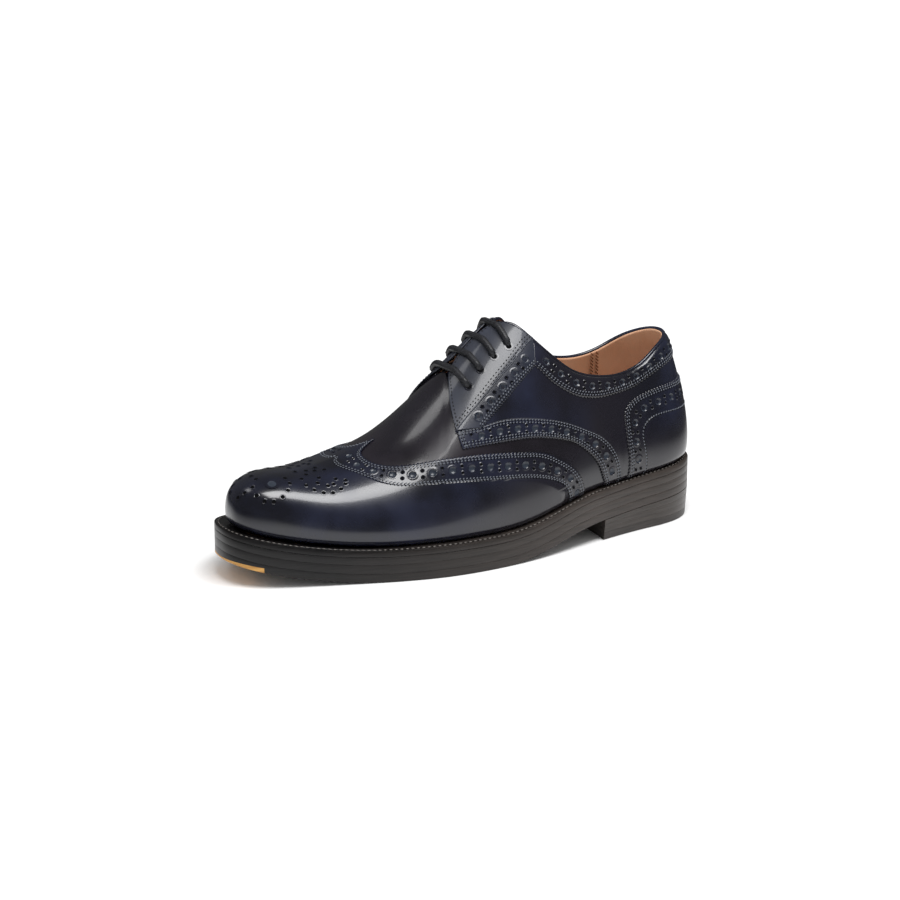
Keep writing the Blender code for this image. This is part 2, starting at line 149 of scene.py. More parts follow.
# Edges of the sole by share of its length: half widths as shares of the ball width, and
# the ledge that the welt leaves outside the upper, as a share of its named width.
PLAN = curves(
    "along lateral medial ledge",
    (0.00, 0.285, 0.310, 0.45),
    (0.12, 0.305, 0.330, 0.45),
    (0.25, 0.375, 0.318, 0.55),
    (0.38, 0.468, 0.290, 0.80),
    (0.50, 0.513, 0.340, 1.00),
    (0.62, 0.512, 0.438, 1.00),
    (0.72, 0.452, 0.484, 1.00),
    (0.82, 0.370, 0.484, 1.10),
    (0.91, 0.332, 0.442, 1.30),
    (1.00, 0.330, 0.395, 1.45),
)

# Sections of the last by share of the sole's length. The crown is the height of its ridge
# as a share of the instep height, and behind the facings it runs on up the leg. The ridge
# lies across as a share of the ball width. Wall and roof are the powers that round a
# section, and the bulge and its height are shares of their named sizes.
LAST = curves(
    "along crown ridge wall roof bulge height",
    (0.00, 1.540, 0.000, 2.85, 1.00, 0.45, 1.10),
    (0.12, 1.430, -0.004, 2.70, 1.00, 0.60, 1.10),
    (0.25, 1.340, -0.008, 2.15, 1.00, 0.60, 1.00),
    (0.34, 1.125, -0.010, 1.56, 0.98, 0.52, 0.90),
    (0.42, 1.030, -0.012, 1.17, 0.95, 0.50, 0.85),
    (0.50, 0.885, -0.015, 1.02, 0.93, 0.50, 0.80),
    (0.58, 0.714, -0.019, 0.96, 0.90, 0.55, 0.75),
    (0.66, 0.565, -0.025, 0.96, 0.83, 0.60, 0.70),
    (0.74, 0.490, -0.034, 0.98, 0.70, 0.60, 0.65),
    (0.83, 0.456, -0.046, 1.01, 0.54, 0.58, 0.60),
    (0.92, 0.488, -0.058, 1.07, 0.43, 0.55, 0.60),
    (1.00, 0.480, -0.070, 1.13, 0.36, 0.55, 0.60),
)

# The edge of the upper over the opening: how far up each rib of the last it lies, from 0
# at the feather edge to 1 on the ridge, down the collar and along the slot of the throat.
OPENING = curves(
    "along top",
    (0.00, 0.330),
    (0.06, 0.316),
    (0.12, 0.290),
    (0.18, 0.281),
    (0.24, 0.310),
    (0.29, 0.380),
    (0.34, 0.518),
    (0.39, 0.690),
    (0.43, 0.845),
    (0.465, 0.925),
    (0.52, 0.945),
    (0.60, 0.945),
)
SLOT_END = 0.625

# %% [markdown]
# The last is found point by point. Each rib starts at the feather edge, where the upper
# meets the welt, and rises to the ridge; its wall and roof powers round it, and a small
# bulge is added low down, where a real last swells over the foot.

# %% The last
def smooth_step(share):
    """0 to 1, level at both ends."""
    share = np.clip(share, 0, 1)
    return share**3 * (share * (6 * share - 15) + 10)


def end_round(along):
    """The plan's width where it closes at the heel's back and the toe, as a share of it."""
    heel = np.clip(1 - along / HEEL_ROUND, 0, 1)
    toe = np.clip(1 - (SOLE_LENGTH - along) / TOE_ROUND, 0, 1)
    return (1 - heel**END_POWER) ** (1 / END_POWER) * (1 - toe**END_POWER) ** (1 / END_POWER)


def plan_point(station, side):
    """A point of the sole's edge, along and across."""
    along = along_of(station)
    share = along / SOLE_LENGTH
    half = np.where(side > 0, PLAN["lateral"](share), PLAN["medial"](share))
    return along, side * half * BALL_WIDTH * end_round(along)


def inset_point(station, side, inset):
    """The sole's edge moved inwards by the inset, square to the edge."""
    station = np.asarray(station, float)
    nudge = 1e-4
    back, front = np.maximum(station - nudge, 0), np.minimum(station + nudge, 1)
    (a0, c0), (a1, c1) = plan_point(back, side), plan_point(front, side)
    tip = (station <= 0) | (station >= 1)
    run = np.where(tip, 0, a1 - a0)
    turn = np.where(tip, np.where(station <= 0, side, -side) * 1.0, c1 - c0)
    size = np.hypot(run, turn)
    along, across = plan_point(station, side)
    return along + side * inset * turn / size, across - side * inset * run / size


def sole_rise(along):
    """Height of the outsole's underside above the floor, level under the ball."""
    slope = (HEEL_BREAST_HEIGHT - HEEL_BACK_HEIGHT) / HEEL_LENGTH
    seat = HEEL_BACK_HEIGHT + slope * along
    lift_start = SOLE_LENGTH - TOE_LIFT_LENGTH
    tread_start = lift_start - TREAD_LENGTH
    arch = seat * smooth_step((tread_start - along) / (tread_start - HEEL_LENGTH))
    return arch + TOE_SPRING * (np.maximum(along - lift_start, 0) / TOE_LIFT_LENGTH) ** 2


# Heights above the outsole's underside at which each layer starts.
LOWER_MIDSOLE_FLOOR = OUTSOLE_THICK + GAP
UPPER_MIDSOLE_FLOOR = LOWER_MIDSOLE_FLOOR + LOWER_MIDSOLE_THICK + GAP
WELT_FLOOR = UPPER_MIDSOLE_FLOOR + UPPER_MIDSOLE_THICK + GAP
FEATHER = WELT_FLOOR + WELT_THICK + GAP


def ledge(station):
    """How far the welt stands out beyond the upper."""
    return WELT_LEDGE * PLAN["ledge"](along_of(station) / SOLE_LENGTH)


def last_point(station, angle, side):
    """The last's surface from its feather edge, angle 0, to its ridge, angle 1."""
    along, across = inset_point(station, side, ledge(station))
    share = along_of(station) / SOLE_LENGTH
    spine = SPINE_HEEL + (SOLE_LENGTH - SPINE_TOE - SPINE_HEEL) * share
    ridge = LAST["ridge"](spine / SOLE_LENGTH) * BALL_WIDTH
    turn = np.pi / 2 * np.asarray(angle, float)
    reach = np.maximum(np.cos(turn), 0) ** LAST["wall"](share)
    climb = np.sin(turn) ** LAST["roof"](share)
    floor = sole_rise(along) + FEATHER
    crown = LAST["crown"]((spine + (along - spine) * reach) / SOLE_LENGTH) * INSTEP_HEIGHT
    rise = (crown - floor) * climb
    swell = rise / (BULGE_HEIGHT * LAST["height"](share))
    proud = BULGE * LAST["bulge"](share) * swell * np.exp(1 - swell) * (1 - climb)
    size = np.hypot(along - spine, across - ridge)
    reach = reach + proud / size
    return np.stack(
        np.broadcast_arrays(
            spine + (along - spine) * reach,
            ridge + (across - ridge) * reach,
            sole_rise(along) * (1 - climb) + FEATHER * (1 - climb) + crown * climb,
        ),
        axis=-1,
    )


def skin_point(station, angle, side, proud):
    """The last's surface moved outwards, and level with the welt at the feather edge."""
    station, angle = np.broadcast_arrays(np.round(station, 6), np.round(angle, 6))
    nudge = 1e-3
    s0, s1 = np.maximum(station - nudge, 0), np.minimum(station + nudge, 1)
    a0, a1 = np.maximum(angle - nudge, 0), np.minimum(angle + nudge, 1)
    forward = last_point(s1, angle, side) - last_point(s0, angle, side)
    upward = last_point(station, a1, side) - last_point(station, a0, side)
    normal = np.cross(upward, forward) * side
    nothing = np.zeros(station.shape)
    for where, run, turn in (
        (station <= 0, upward, -1),
        (station >= 1, upward, 1),
        (angle >= 1, forward, -1),
    ):
        in_line = np.stack([run[..., 2] * turn, nothing, run[..., 0] * -turn], axis=-1)
        normal = np.where(where[..., None], in_line, normal)
    normal[..., 2] *= np.minimum(angle / FOOT_TURN, 1)
    normal /= np.linalg.norm(normal, axis=-1, keepdims=True)
    return last_point(station, angle, side) + normal * proud


def opening(station):
    """How far up its rib the upper reaches."""
    share = along_of(station) / SOLE_LENGTH
    return np.where(share < SLOT_END, np.minimum(OPENING["top"](share), 1), 1.0)


def sole_point(station, side, inset, height):
    """A point beside or inside the sole's edge, at a height over the outsole's underside."""
    along, across = inset_point(station, side, inset)
    return np.stack([along, across, sole_rise(along) + height], axis=-1)


def middle_across():
    """The middle of the sole's width, which becomes the origin."""
    stations = np.linspace(0, 1, 401)
    return (plan_point(stations, LATERAL)[1].max() + plan_point(stations, MEDIAL)[1].min()) / 2


def into_scene(points):
    """Points of the shoe's frame as metres in the scene's frame."""
    along, across, up = np.moveaxis(np.asarray(points, float), -1, 0)
    turned = [SOLE_LENGTH / 2 - along, MIDDLE - across, up]
    return np.stack(turned, axis=-1) * MM


MIDDLE = middle_across()
print("sole", SOLE_LENGTH, "mm, middle", round(float(MIDDLE), 2))

# %% [markdown]
# Colours are picked as sRGB hex values and turned to the linear values that a shader reads.
# Every material here is built from nodes by one small helper, on Object coordinates in
# metres, so a pattern's scale is one thousand over its size in millimetres.


# %% Colour and node helpers
def linear(hex_colour):
    """An sRGB hex colour as linear values with an alpha of 1."""
    values = [int(hex_colour[i : i + 2], 16) / 255 for i in (1, 3, 5)]
    return [v / 12.92 if v <= 0.04045 else ((v + 0.055) / 1.055) ** 2.4 for v in values] + [1.0]


def add_node(tree, kind, inputs=(), **settings):
    """Adds a node with its settings; its inputs are values or the sockets that feed them."""
    node = tree.nodes.new("ShaderNode" + kind)
    for key, value in settings.items():
        setattr(node, key, value)
    for key, value in dict(inputs).items():
        if isinstance(value, bpy.types.NodeSocket):
            tree.links.new(value, node.inputs[key])
        else:
            node.inputs[key].default_value = value
    return node


def new_material(name):
    """A material with its tree, its shader and its Object coordinates."""
    material = bpy.data.materials.new(name)
    material.use_nodes = True
    tree = material.node_tree
    shader = tree.nodes["Principled BSDF"]
    return material, tree, shader, add_node(tree, "TexCoord").outputs["Object"]


def blend_colours(tree, share, low, high, first, second):
    """A colour between two, as a share between low and high runs from one to the other."""
    part = add_node(tree, "MapRange", {"Value": share, "From Min": low, "From Max": high})
    mix = add_node(tree, "Mix", {"Factor": part.outputs["Result"]}, data_type="RGBA")
    for socket, colour in ((mix.inputs[6], first), (mix.inputs[7], second)):
        if isinstance(colour, str):
            socket.default_value = linear(colour)
        else:
            tree.links.new(colour, socket)
    return mix.outputs[2]


# %% [markdown]
# The upper is polished calf, dyed nearly black and brushed off at the edges, which leaves a
# cloudy navy over a darker aubergine. Calf is smooth: its pores are about 0.2 mm apart and
# are drawn at 0.8 mm, as fine as the picture shows. A thin wax coat gives the sharp top
# reflection and the leather below a broader one.


# %% Calf and sole leather
CLOUD, PATCH, PORE = 38, 90, 0.8


def calf(name, deep, bright, cast, rough=(0.20, 0.34), coat=0.45):
    """Polished calf: clouds of dye and broader patches of another cast, in millimetres."""
    material, tree, shader, place = new_material(name)
    clouds = add_node(tree, "TexNoise", {"Vector": place, "Scale": 1000 / CLOUD, "Detail": 3.0})
    dye = blend_colours(tree, clouds.outputs["Fac"], 0.38, 0.64, deep, bright)
    patches = add_node(tree, "TexNoise", {"Vector": place, "Scale": 1000 / PATCH, "Detail": 1.0})
    dye = blend_colours(tree, patches.outputs["Fac"], 0.42, 0.62, dye, cast)
    tree.links.new(dye, shader.inputs["Base Color"])
    ends = {"From Min": 0.35, "From Max": 0.65, "To Min": rough[0], "To Max": rough[1]}
    polish = add_node(tree, "MapRange", {"Value": clouds.outputs["Fac"], **ends})
    tree.links.new(polish.outputs["Result"], shader.inputs["Roughness"])
    pores = add_node(tree, "TexNoise", {"Vector": place, "Scale": 1000 / PORE, "Detail": 2.0})
    grain = add_node(tree, "Bump", {"Height": pores.outputs["Fac"], "Strength": 0.10, "Distance": 0.0001})
    tree.links.new(grain.outputs["Normal"], shader.inputs["Normal"])
    shader.inputs["Coat Weight"].default_value = coat
    shader.inputs["Coat Roughness"].default_value = 0.10
    return material


def edge_leather(name, deep, bright, rough, layer=0.9):
    """Waxed cut edges: fibres lie along the sole, so the streaks are long and thin.
    Each colour is a pair, for the toe and for the heel."""
    material, tree, shader, place = new_material(name)
    length = add_node(tree, "SeparateXYZ", {"Vector": place}).outputs["X"]
    deep, bright = (blend_colours(tree, length, -0.11, 0.06, *pair) for pair in (deep, bright))
    stretch = add_node(tree, "Mapping", {"Vector": place, "Scale": (60, 60, 1000 / layer)})
    fibres = add_node(tree, "TexNoise", {"Vector": stretch.outputs["Vector"], "Scale": 1.0, "Detail": 4.0})
    dye = blend_colours(tree, fibres.outputs["Fac"], 0.35, 0.68, deep, bright)
    tree.links.new(dye, shader.inputs["Base Color"])
    relief = add_node(tree, "Bump", {"Height": fibres.outputs["Fac"], "Strength": 0.25, "Distance": 0.0002})
    tree.links.new(relief.outputs["Normal"], shader.inputs["Normal"])
    shader.inputs["Roughness"].default_value = rough
    shader.inputs["Specular IOR Level"].default_value = 0.32
    shader.inputs["Coat Weight"].default_value = 0.06
    shader.inputs["Coat Roughness"].default_value = 0.2
    return material


def dyed(name, dark, light, rough, grain):
    """Waxed thread, what shows in a punch, and the painted shade in small holes: two close tones of one
    colour.
    """
    material, tree, shader, place = new_material(name)
    cloud = add_node(tree, "TexNoise", {"Vector": place, "Scale": 1000 / grain, "Detail": 1.0})
    dye = blend_colours(tree, cloud.outputs["Fac"], 0.3, 0.7, dark, light)
    tree.links.new(dye, shader.inputs["Base Color"])
    shader.inputs["Roughness"].default_value = rough
    return material


# Polished navy on the panels and a redder dye on the vamp. The facings are the same navy calf,
# painted a lighter grey as a painted reflection of the broad top light, and duller; their bands
# are calf brushed lighter and duller. The lining and the sock are undyed calf with no wax.
NAVY_CALF = calf("navy_polished_calf", "#0e0f18", "#181c30", "#16141c")
VAMP_CALF = calf("aubergine_polished_calf", "#120f14", "#1d1820", "#14131b")
# The facings' lighter grey is a painted reflection of the top light on navy calf.
FACING_CALF_PAINTED_REFLECTION = calf("navy_calf_painted_reflection", "#20232d", "#2e323f", "#262a35", rough=(0.40, 0.50))
BAND_CALF = calf("navy_brushed_calf", "#161924", "#222635", "#1a1c27", rough=(0.26, 0.38))
LINING_CALF = calf("tan_lining_calf", "#c79470", "#d8a886", "#c08c6c", rough=(0.45, 0.6), coat=0.0)
SOCK_CALF = calf("tan_sock_calf", "#a06a45", "#b98258", "#96603c", rough=(0.4, 0.55), coat=0.05)
# Sole leather is waxed black at the toe and turns browner towards the heel; the tip is left natural,
# and the heel's rubber is matt.
SOLE_EDGE = edge_leather("black_waxed_sole_edge", ("#070607", "#322d2a"), ("#121011", "#403935"), 0.36)
HEEL_EDGE = edge_leather("brown_black_waxed_heel", ("#322d2a", "#322d2a"), ("#403a36", "#403a36"), 0.36)
TAN_EDGE = edge_leather("natural_leather_tip", ("#a9783c", "#a9783c"), ("#c99a55", "#c99a55"), 0.55)
TOP_RUBBER = edge_leather("brown_black_heel_rubber", ("#2b2725", "#2b2725"), ("#3a3532", "#3a3532"), 0.45)
# Thread turns over every 0.6 mm, and the grain of a punch's backing is about 1.2 mm wide.
TWIST = 0.6
GRAIN = 1.2
DARK_THREAD = dyed("waxed_slate_thread", "#565a62", "#62666e", 0.6, TWIST)
BLACK_THREAD = dyed("waxed_black_thread", "#0a0b0f", "#0e0f13", 0.85, TWIST)
SLATE = dyed("slate_punch_backing", "#272d36", "#2d333e", 0.3, GRAIN)
WELT_THREAD = dyed("waxed_grey_thread", "#605b57", "#6c6763", 0.5, TWIST)
TAN_THREAD = dyed("tan_thread", "#774b30", "#835336", 0.6, TWIST)
# Near-black painted shade for the small holes (needle holes, pinholes and eyelets), with its reflection
# turned down too.
HOLE_SHADE = dyed("painted_shade_hole_bottom", "#050507", "#070709", 0.9, GRAIN)
HOLE_SHADE.node_tree.nodes["Principled BSDF"].inputs["Specular IOR Level"].default_value = 0.1
print("materials", len(bpy.data.materials))

# %% [markdown]
# A pattern cutter draws each panel on the last itself. So does this script: a line is a
# short table of places, along by share of the sole's length and up by share of a rib of
# the last, joined by a smooth curve and walked evenly by its length.


# %% Lines on the last
def measure(points):
    """The distance walked along a row of points, at each of them."""
    steps = np.linalg.norm(np.diff(points, axis=0), axis=-1)
    return np.concatenate([[0], np.cumsum(steps)])


def unit(vectors):
    """The same directions, each of length 1."""
    return vectors / np.linalg.norm(vectors, axis=-1, keepdims=True)


def sample(where, walked, points):
    """Places between a row of points, at distances walked along it."""
    return np.stack([np.interp(where, walked, column) for column in points.T], axis=1)


def line(*rows):
    """A smooth line on the last through rows of along and rise, walked from 0 to 1."""
    along, rise = np.array(rows, float).T
    station = station_of(along * SOLE_LENGTH)
    knots = measure(last_point(station, rise, LATERAL))
    fine = np.linspace(0, knots[-1], 800)
    station = np.clip(spline(knots, station)(fine), 0, 1)
    rise = np.clip(spline(knots, rise)(fine), 0, 1)
    walked = measure(last_point(station, rise, LATERAL))
    return lambda u: (
        np.interp(u, walked / walked[-1], station),
        np.interp(u, walked / walked[-1], rise),
    )


def between(outer, inner, u, v):
    """A place between two lines, as station and rise."""
    (s0, r0), (s1, r1) = outer(u), inner(u)
    return s0 + (s1 - s0) * v, r0 + (r1 - r0) * v


# How far the leather tucks in over the welt, and the height at which that starts.
TUCK, TUCK_HEIGHT = 1.9, 4.5


def on_last(station, rise, side, proud):
    """Points on the last, each moved out by its own height, and tucked in over the welt."""
    flat = skin_point(station, rise, side, 0.0)
    normal = skin_point(station, rise, side, 1.0) - flat
    above = flat[..., 2] - skin_point(station, np.zeros_like(rise), side, 0.0)[..., 2]
    proud = np.asarray(proud, float) - TUCK * np.clip(1 - above / TUCK_HEIGHT, 0, 1) ** 2
    return flat + normal * proud[..., None]


def seated(station, rise, side, level):
    """Points at one height over the last, and the leather's normals there."""
    points = on_last(station, rise, side, level)
    return points, on_last(station, rise, side, level + 1.0) - points


WING_OUT = line(
    (0.300, 0.000), (0.306, 0.033), (0.323, 0.092), (0.355, 0.150),
    (0.390, 0.198), (0.438, 0.240), (0.501, 0.298), (0.599, 0.407),
    (0.681, 0.504), (0.769, 0.607), (0.811, 0.691), (0.843, 0.777),
    (0.870, 0.860), (0.880, 0.920), (0.869, 1.000),
)
WING_IN = line(
    (0.338, 0.000), (0.351, 0.067), (0.381, 0.109), (0.423, 0.145),
    (0.483, 0.189), (0.562, 0.253), (0.677, 0.365), (0.746, 0.437),
    (0.779, 0.501), (0.864, 0.677), (0.959, 0.889), (0.988, 1.000),
)
QUARTER_OUT = line(
    (0.243, 0.000), (0.252, 0.025), (0.266, 0.075), (0.288, 0.125),
    (0.325, 0.189), (0.368, 0.237), (0.436, 0.292), (0.510, 0.354),
    (0.584, 0.433),
)
QUARTER_IN = line(
    (0.209, 0.000), (0.214, 0.033), (0.220, 0.064), (0.233, 0.103),
    (0.262, 0.153), (0.290, 0.190), (0.317, 0.230), (0.346, 0.270),
    (0.377, 0.304), (0.407, 0.331), (0.450, 0.374), (0.483, 0.410),
    (0.512, 0.438), (0.537, 0.460), (0.597, 0.538),
)
FACING_OUT = line(
    (0.394, 0.538), (0.416, 0.526), (0.445, 0.511), (0.472, 0.496),
    (0.510, 0.477), (0.537, 0.459),
)
FACING_IN = line(
    (0.380, 0.655), (0.400, 0.652), (0.443, 0.621), (0.470, 0.609),
    (0.497, 0.599), (0.524, 0.588), (0.550, 0.577), (0.576, 0.564),
    (0.598, 0.545),
)
THROAT = line(
    (0.452, 0.905), (0.479, 0.955), (0.510, 0.985), (0.545, 0.995),
    (0.575, 0.992), (0.600, 0.972), (0.613, 0.940), (0.618, 0.900),
    (0.617, 0.847), (0.615, 0.763), (0.610, 0.682), (0.604, 0.610),
    (0.598, 0.545),
)
COLLAR_LOW = line(
    (0.000, 0.268), (0.051, 0.265), (0.100, 0.256), (0.153, 0.240),
    (0.203, 0.240), (0.248, 0.256), (0.276, 0.281), (0.304, 0.320),
    (0.331, 0.375), (0.359, 0.440), (0.379, 0.499), (0.394, 0.538),
)
COLLAR_EDGE = (
    (0.000, 0.330), (0.060, 0.316), (0.120, 0.290), (0.180, 0.281),
    (0.240, 0.310), (0.290, 0.380), (0.340, 0.518), (0.380, 0.655),
)
COLLAR_TOP = line(*COLLAR_EDGE)
TOPLINE = line(*COLLAR_EDGE, (0.405, 0.755), (0.430, 0.850), (0.452, 0.905))
COUNTER_OUT = line(
    (0.000, 0.206), (0.029, 0.206), (0.085, 0.214), (0.136, 0.212),
    (0.171, 0.201), (0.188, 0.185), (0.194, 0.148), (0.194, 0.111),
    (0.192, 0.072), (0.191, 0.000),
)
COUNTER_IN = line(
    (0.000, 0.136), (0.032, 0.136), (0.102, 0.148), (0.137, 0.142),
    (0.153, 0.123), (0.155, 0.086), (0.150, 0.036), (0.149, 0.000),
)

# %% [markdown]
# Leather is cut flat and sewn on, so each panel stands its own thickness over what lies
# under it. Its outer edge is pinked into small teeth, its bands are punched with large
# holes, and its cut edge is rolled a little. All of that is in the mesh: a fine grid made
# by an operator is laid on the last, with its heights worked out row by row.

# %% How a panel is cut
# Heights over the last: the vamp, the first layer of panels, the second one on it.
BASE, FIRST, SECOND = -1.1, 0.0, 0.75
SKIN = 1.0
# A tooth of the pinked edge, its depth and its columns, and the height of a row of the grid.
TOOTH, TOOTH_DEPTH, TOOTH_STEPS = 2.4, 0.95, 5
ROW = 0.6
# A large punch: its radius, the run of its wall, its depth and the distance between two.
PUNCH, PUNCH_WALL, PUNCH_DEPTH, PUNCH_PITCH = 2.35, 0.35, 1.0, 11.6
WELD = 0.02 * MM
# Grid lines this near a punch's rim, or this far inside its foot, are drawn to them.
RIM_PULL, FOOT_PULL = 0.3, 0.45


def form_object(name, form, material, thick=0.0, sharp=None):
    """A mesh piece on the shoe, with a wall where it is given a thickness in millimetres."""
    mesh = bpy.data.meshes.new(name)
    form.to_mesh(mesh)
    form.free()
    mesh.polygons.foreach_set("use_smooth", [True] * len(mesh.polygons))
    if sharp is not None:
        mesh.set_sharp_from_angle(angle=math.radians(sharp))
    for each in material if isinstance(material, (list, tuple)) else (material,):
        mesh.materials.append(each)
    piece = bpy.data.objects.new(name, mesh)
    bpy.context.collection.objects.link(piece)
    if thick:
        wall = piece.modifiers.new("thickness", "SOLIDIFY")
        wall.thickness, wall.offset = thick * MM, -1.0
    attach(piece, "root")
    print(name, len(mesh.polygons), "faces")
    return piece


# The middle of the last, from which outward is told; how much wider than a punch's floor the
# backing shows; the angle, and the reach past the rim, within which a punch's edges stay sharp.
CORE_HEIGHT, FLOOR_MARGIN, STEEP, SHARP_REACH = 45.0, 1.04, 0.6, 0.8


def lay(
    name, patches, material, nodes=(),
    thick=SKIN, inward=False, closed=False, pits=(), tones=None, sharp=None,
):
    """Grids laid over patches of points whose borders meet, joined into one leather.
    Nodes are the model's solids that it stands for."""
    form = bmesh.new()
    for points, tone in zip(patches, tones or [0] * len(patches)):
        rows, columns = points.shape[0] - 1, points.shape[1] - 1
        grid = bmesh.ops.create_grid(form, x_segments=columns, y_segments=rows, size=0.5)
        for corner, point in zip(grid["verts"], into_scene(points).reshape(-1, 3)):
            corner.co = point
        for face in {face for corner in grid["verts"] for face in corner.link_faces}:
            face.material_index = tone
    bmesh.ops.remove_doubles(form, verts=form.verts, dist=WELD)
    bmesh.ops.dissolve_degenerate(form, dist=WELD / 4, edges=form.edges)
    bmesh.ops.recalc_face_normals(form, faces=form.faces)
    if not closed:
        core = Vector(into_scene(np.array((SOLE_LENGTH / 2, 0.0, CORE_HEIGHT))))
        outward = sum(face.normal.dot(face.calc_center_median() - core) for face in form.faces)
        if (outward < 0) != inward:
            bmesh.ops.reverse_faces(form, faces=form.faces)
    if len(pits):
        tree = kdtree.KDTree(len(pits))
        for index, centre in enumerate(into_scene(np.array(pits))):
            tree.insert(centre, index)
        tree.balance()
        for face in form.faces:
            if tree.find(face.calc_center_median())[2] < (PUNCH - PUNCH_WALL) * MM * FLOOR_MARGIN:
                face.material_index = 1
        for edge in form.edges:
            steep = len(edge.link_faces) == 2 and edge.calc_face_angle() > STEEP
            edge.smooth = not (steep and tree.find(edge.verts[0].co)[2] < (PUNCH + SHARP_REACH) * MM)
        print(name, len(pits), "punches")
    piece = form_object(name, form, material, 0.0 if closed else thick, sharp)
    if nodes:
        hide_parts(*nodes)
    return piece


def places_on(path, side, proud, pitch, start=0.5, stop=0.5):
    """Evenly spaced places on a line: their points, runs and normals."""
    u = np.linspace(0, 1, 1200)
    station, rise = path(u)
    points, normals = seated(station, rise, side, proud)
    walked = measure(points)
    count = int((walked[-1] - (start + stop) * pitch) // pitch) + 1
    where = start * pitch + np.arange(count) * pitch
    points, normals = sample(where, walked, points), sample(where, walked, normals)
    return points, unit(np.gradient(points, axis=0)), normals


WIDEST_INSET = 0.9


def middle_line(outer, inner, millimetres=None):
    """A line halfway between two, or at a distance in from the outer one, or from the inner
    one where it is negative. Where two lines meet it keeps within their gap."""

    def path(u):
        if millimetres is None:
            return between(outer, inner, u, 0.5)
        width = np.linalg.norm(last_point(*outer(u), LATERAL) - last_point(*inner(u), LATERAL), axis=-1)
        inset = np.clip(millimetres / np.maximum(width, 1e-6), -WIDEST_INSET, WIDEST_INSET)
        return between(outer, inner, u, inset if millimetres > 0 else 1 + inset)

    return path


def punch_out(points, normals, centres):
    """Draws the grid to each punch's rim and lowers what is inside it."""
    away = points[..., None, :] - centres
    apart = np.linalg.norm(away, axis=-1)
    nearest = apart.argmin(axis=-1)[..., None]
    reach = np.take_along_axis(apart, nearest, -1)[..., 0]
    away = np.take_along_axis(away, nearest[..., None], -2)[..., 0, :]
    rim, foot = PUNCH, PUNCH - PUNCH_WALL
    new = np.where(abs(reach - rim) < RIM_PULL, rim, reach)
    new = np.where((reach < rim - RIM_PULL) & (reach > foot - FOOT_PULL), foot, new)
    # The dished floor, the wall and a low lip, by distance from the middle and height.
    profile = (
        (0, -PUNCH_DEPTH),
        (0.35 * foot, 0.07 - PUNCH_DEPTH),
        (0.7 * foot, 0.28 - PUNCH_DEPTH),
        (foot, 0.6 - PUNCH_DEPTH),
        (rim, 0.1),
        (rim + 0.4, 0.18),
        (rim + 0.9, 0),
    )
    sink = np.interp(new, *zip(*profile))
    shift = away * (new / np.maximum(reach, 1e-6) - 1)[..., None]
    return points + shift + normals * sink[..., None]


def columns_of(outer, inner):
    """How many columns a band needs, the same on both sides so that they meet."""
    u = np.linspace(0, 1, 200)
    ends = [on_last(*each(u), side, 0.0) for each in (outer, inner) for side in BOTH]
    return 2 * round(TOOTH_STEPS * max(measure(end)[-1] for end in ends) / TOOTH / 2)


def rows_across(outer, inner):
    """How many rows a band needs, the same on both sides."""
    u = np.linspace(0, 1, 200)
    gaps = [last_point(*outer(u), side) - last_point(*inner(u), side) for side in BOTH]
    return math.ceil(max(np.linalg.norm(gap, axis=-1).max() for gap in gaps) / ROW)


# How far a panel's cut edge drops.
EDGE_DROP = 0.4
# The punched bands: their outer and inner line, their height over the last, and where the
# first punch stands, as a share of the distance between two.
BANDS = {
    "wing": (WING_OUT, WING_IN, FIRST, 0.5),
    "quarter": (QUARTER_OUT, QUARTER_IN, FIRST, 0.9),
    "facing": (FACING_OUT, FACING_IN, SECOND, 0.75),
    "collar": (COLLAR_LOW, COLLAR_TOP, SECOND, 0.5),
    "counter": (COUNTER_OUT, COUNTER_IN, SECOND, 0.0),
}


def strip(band, side, turned=None):
    """A band of leather between two lines, its outer edge pinked and its middle punched."""
    outer, inner, level, start = BANDS[band]
    columns = columns_of(outer, inner)
    u = np.linspace(0, 1, columns + 1)[None, :]
    width = np.linalg.norm(last_point(*outer(u), side) - last_point(*inner(u), side), axis=-1)
    v = np.linspace(0, 1, rows_across(outer, inner) + 1)[:, None] * np.ones_like(u)
    tooth = (np.arange(columns + 1) / TOOTH_STEPS) % 1
    v[0] = -TOOTH_DEPTH * (1 - abs(2 * tooth - 1)) / np.maximum(width[0], 1)
    station, rise = (np.clip(each, 0, 1) for each in between(outer, inner, u, v))
    proud = np.full(station.shape, level)
    proud[0] -= EDGE_DROP
    if turned is not None:
        proud += turned(v)
    centres = places_on(middle_line(outer, inner), side, level, PUNCH_PITCH, start)[0]
    return punch_out(*seated(station, rise, side, proud), centres), centres


def ruled(outer, inner, side, level, columns, rows, edge=0.0):
    """A plain patch of leather between two lines."""
    u, v = np.linspace(0, 1, columns + 1)[None, :], np.linspace(0, 1, rows + 1)[:, None]
    station, rise = between(outer, inner, u, v)
    proud = np.full(station.shape, level)
    proud[-1] -= edge
    return on_last(station, rise, side, proud)


def banded(band, far, side, rows, edge=0.0):
    """A punched band with the plain leather beyond it, and the punches' middles."""
    outer, inner, level, _ = BANDS[band]
    punched, centres = strip(band, side)
    plain = ruled(inner, far, side, level, columns_of(outer, inner) // 2, rows, edge)
    return [punched, plain], centres


def both_sides(make):
    """The patches and the punches of both sides of the shoe."""
    patches, centres = zip(*[make(side) for side in BOTH])
    return [patch for each in patches for patch in each], np.concatenate(centres)


PUNCHED_NAVY = (NAVY_CALF, SLATE)

# %% [markdown]
# The vamp and the quarters' foundation are one hollow wall. Its outside is the vamp's
# leather, and its inside a separate tan lining, as in the real shoe. Both follow the ribs
# of the last from the feather edge up to the opening.

# %% Vamp and lining
# The lining's height over the last and its thickness, and the share of a rib that it reaches.
LINING, LINING_THICK, LINING_REACH = -3.0, 0.9, 0.8
# The vamp stops at this share of the height of the opening, and closes from this height on.
SHORT_OF_EDGE, CLOSED_FROM = 0.94, 0.97


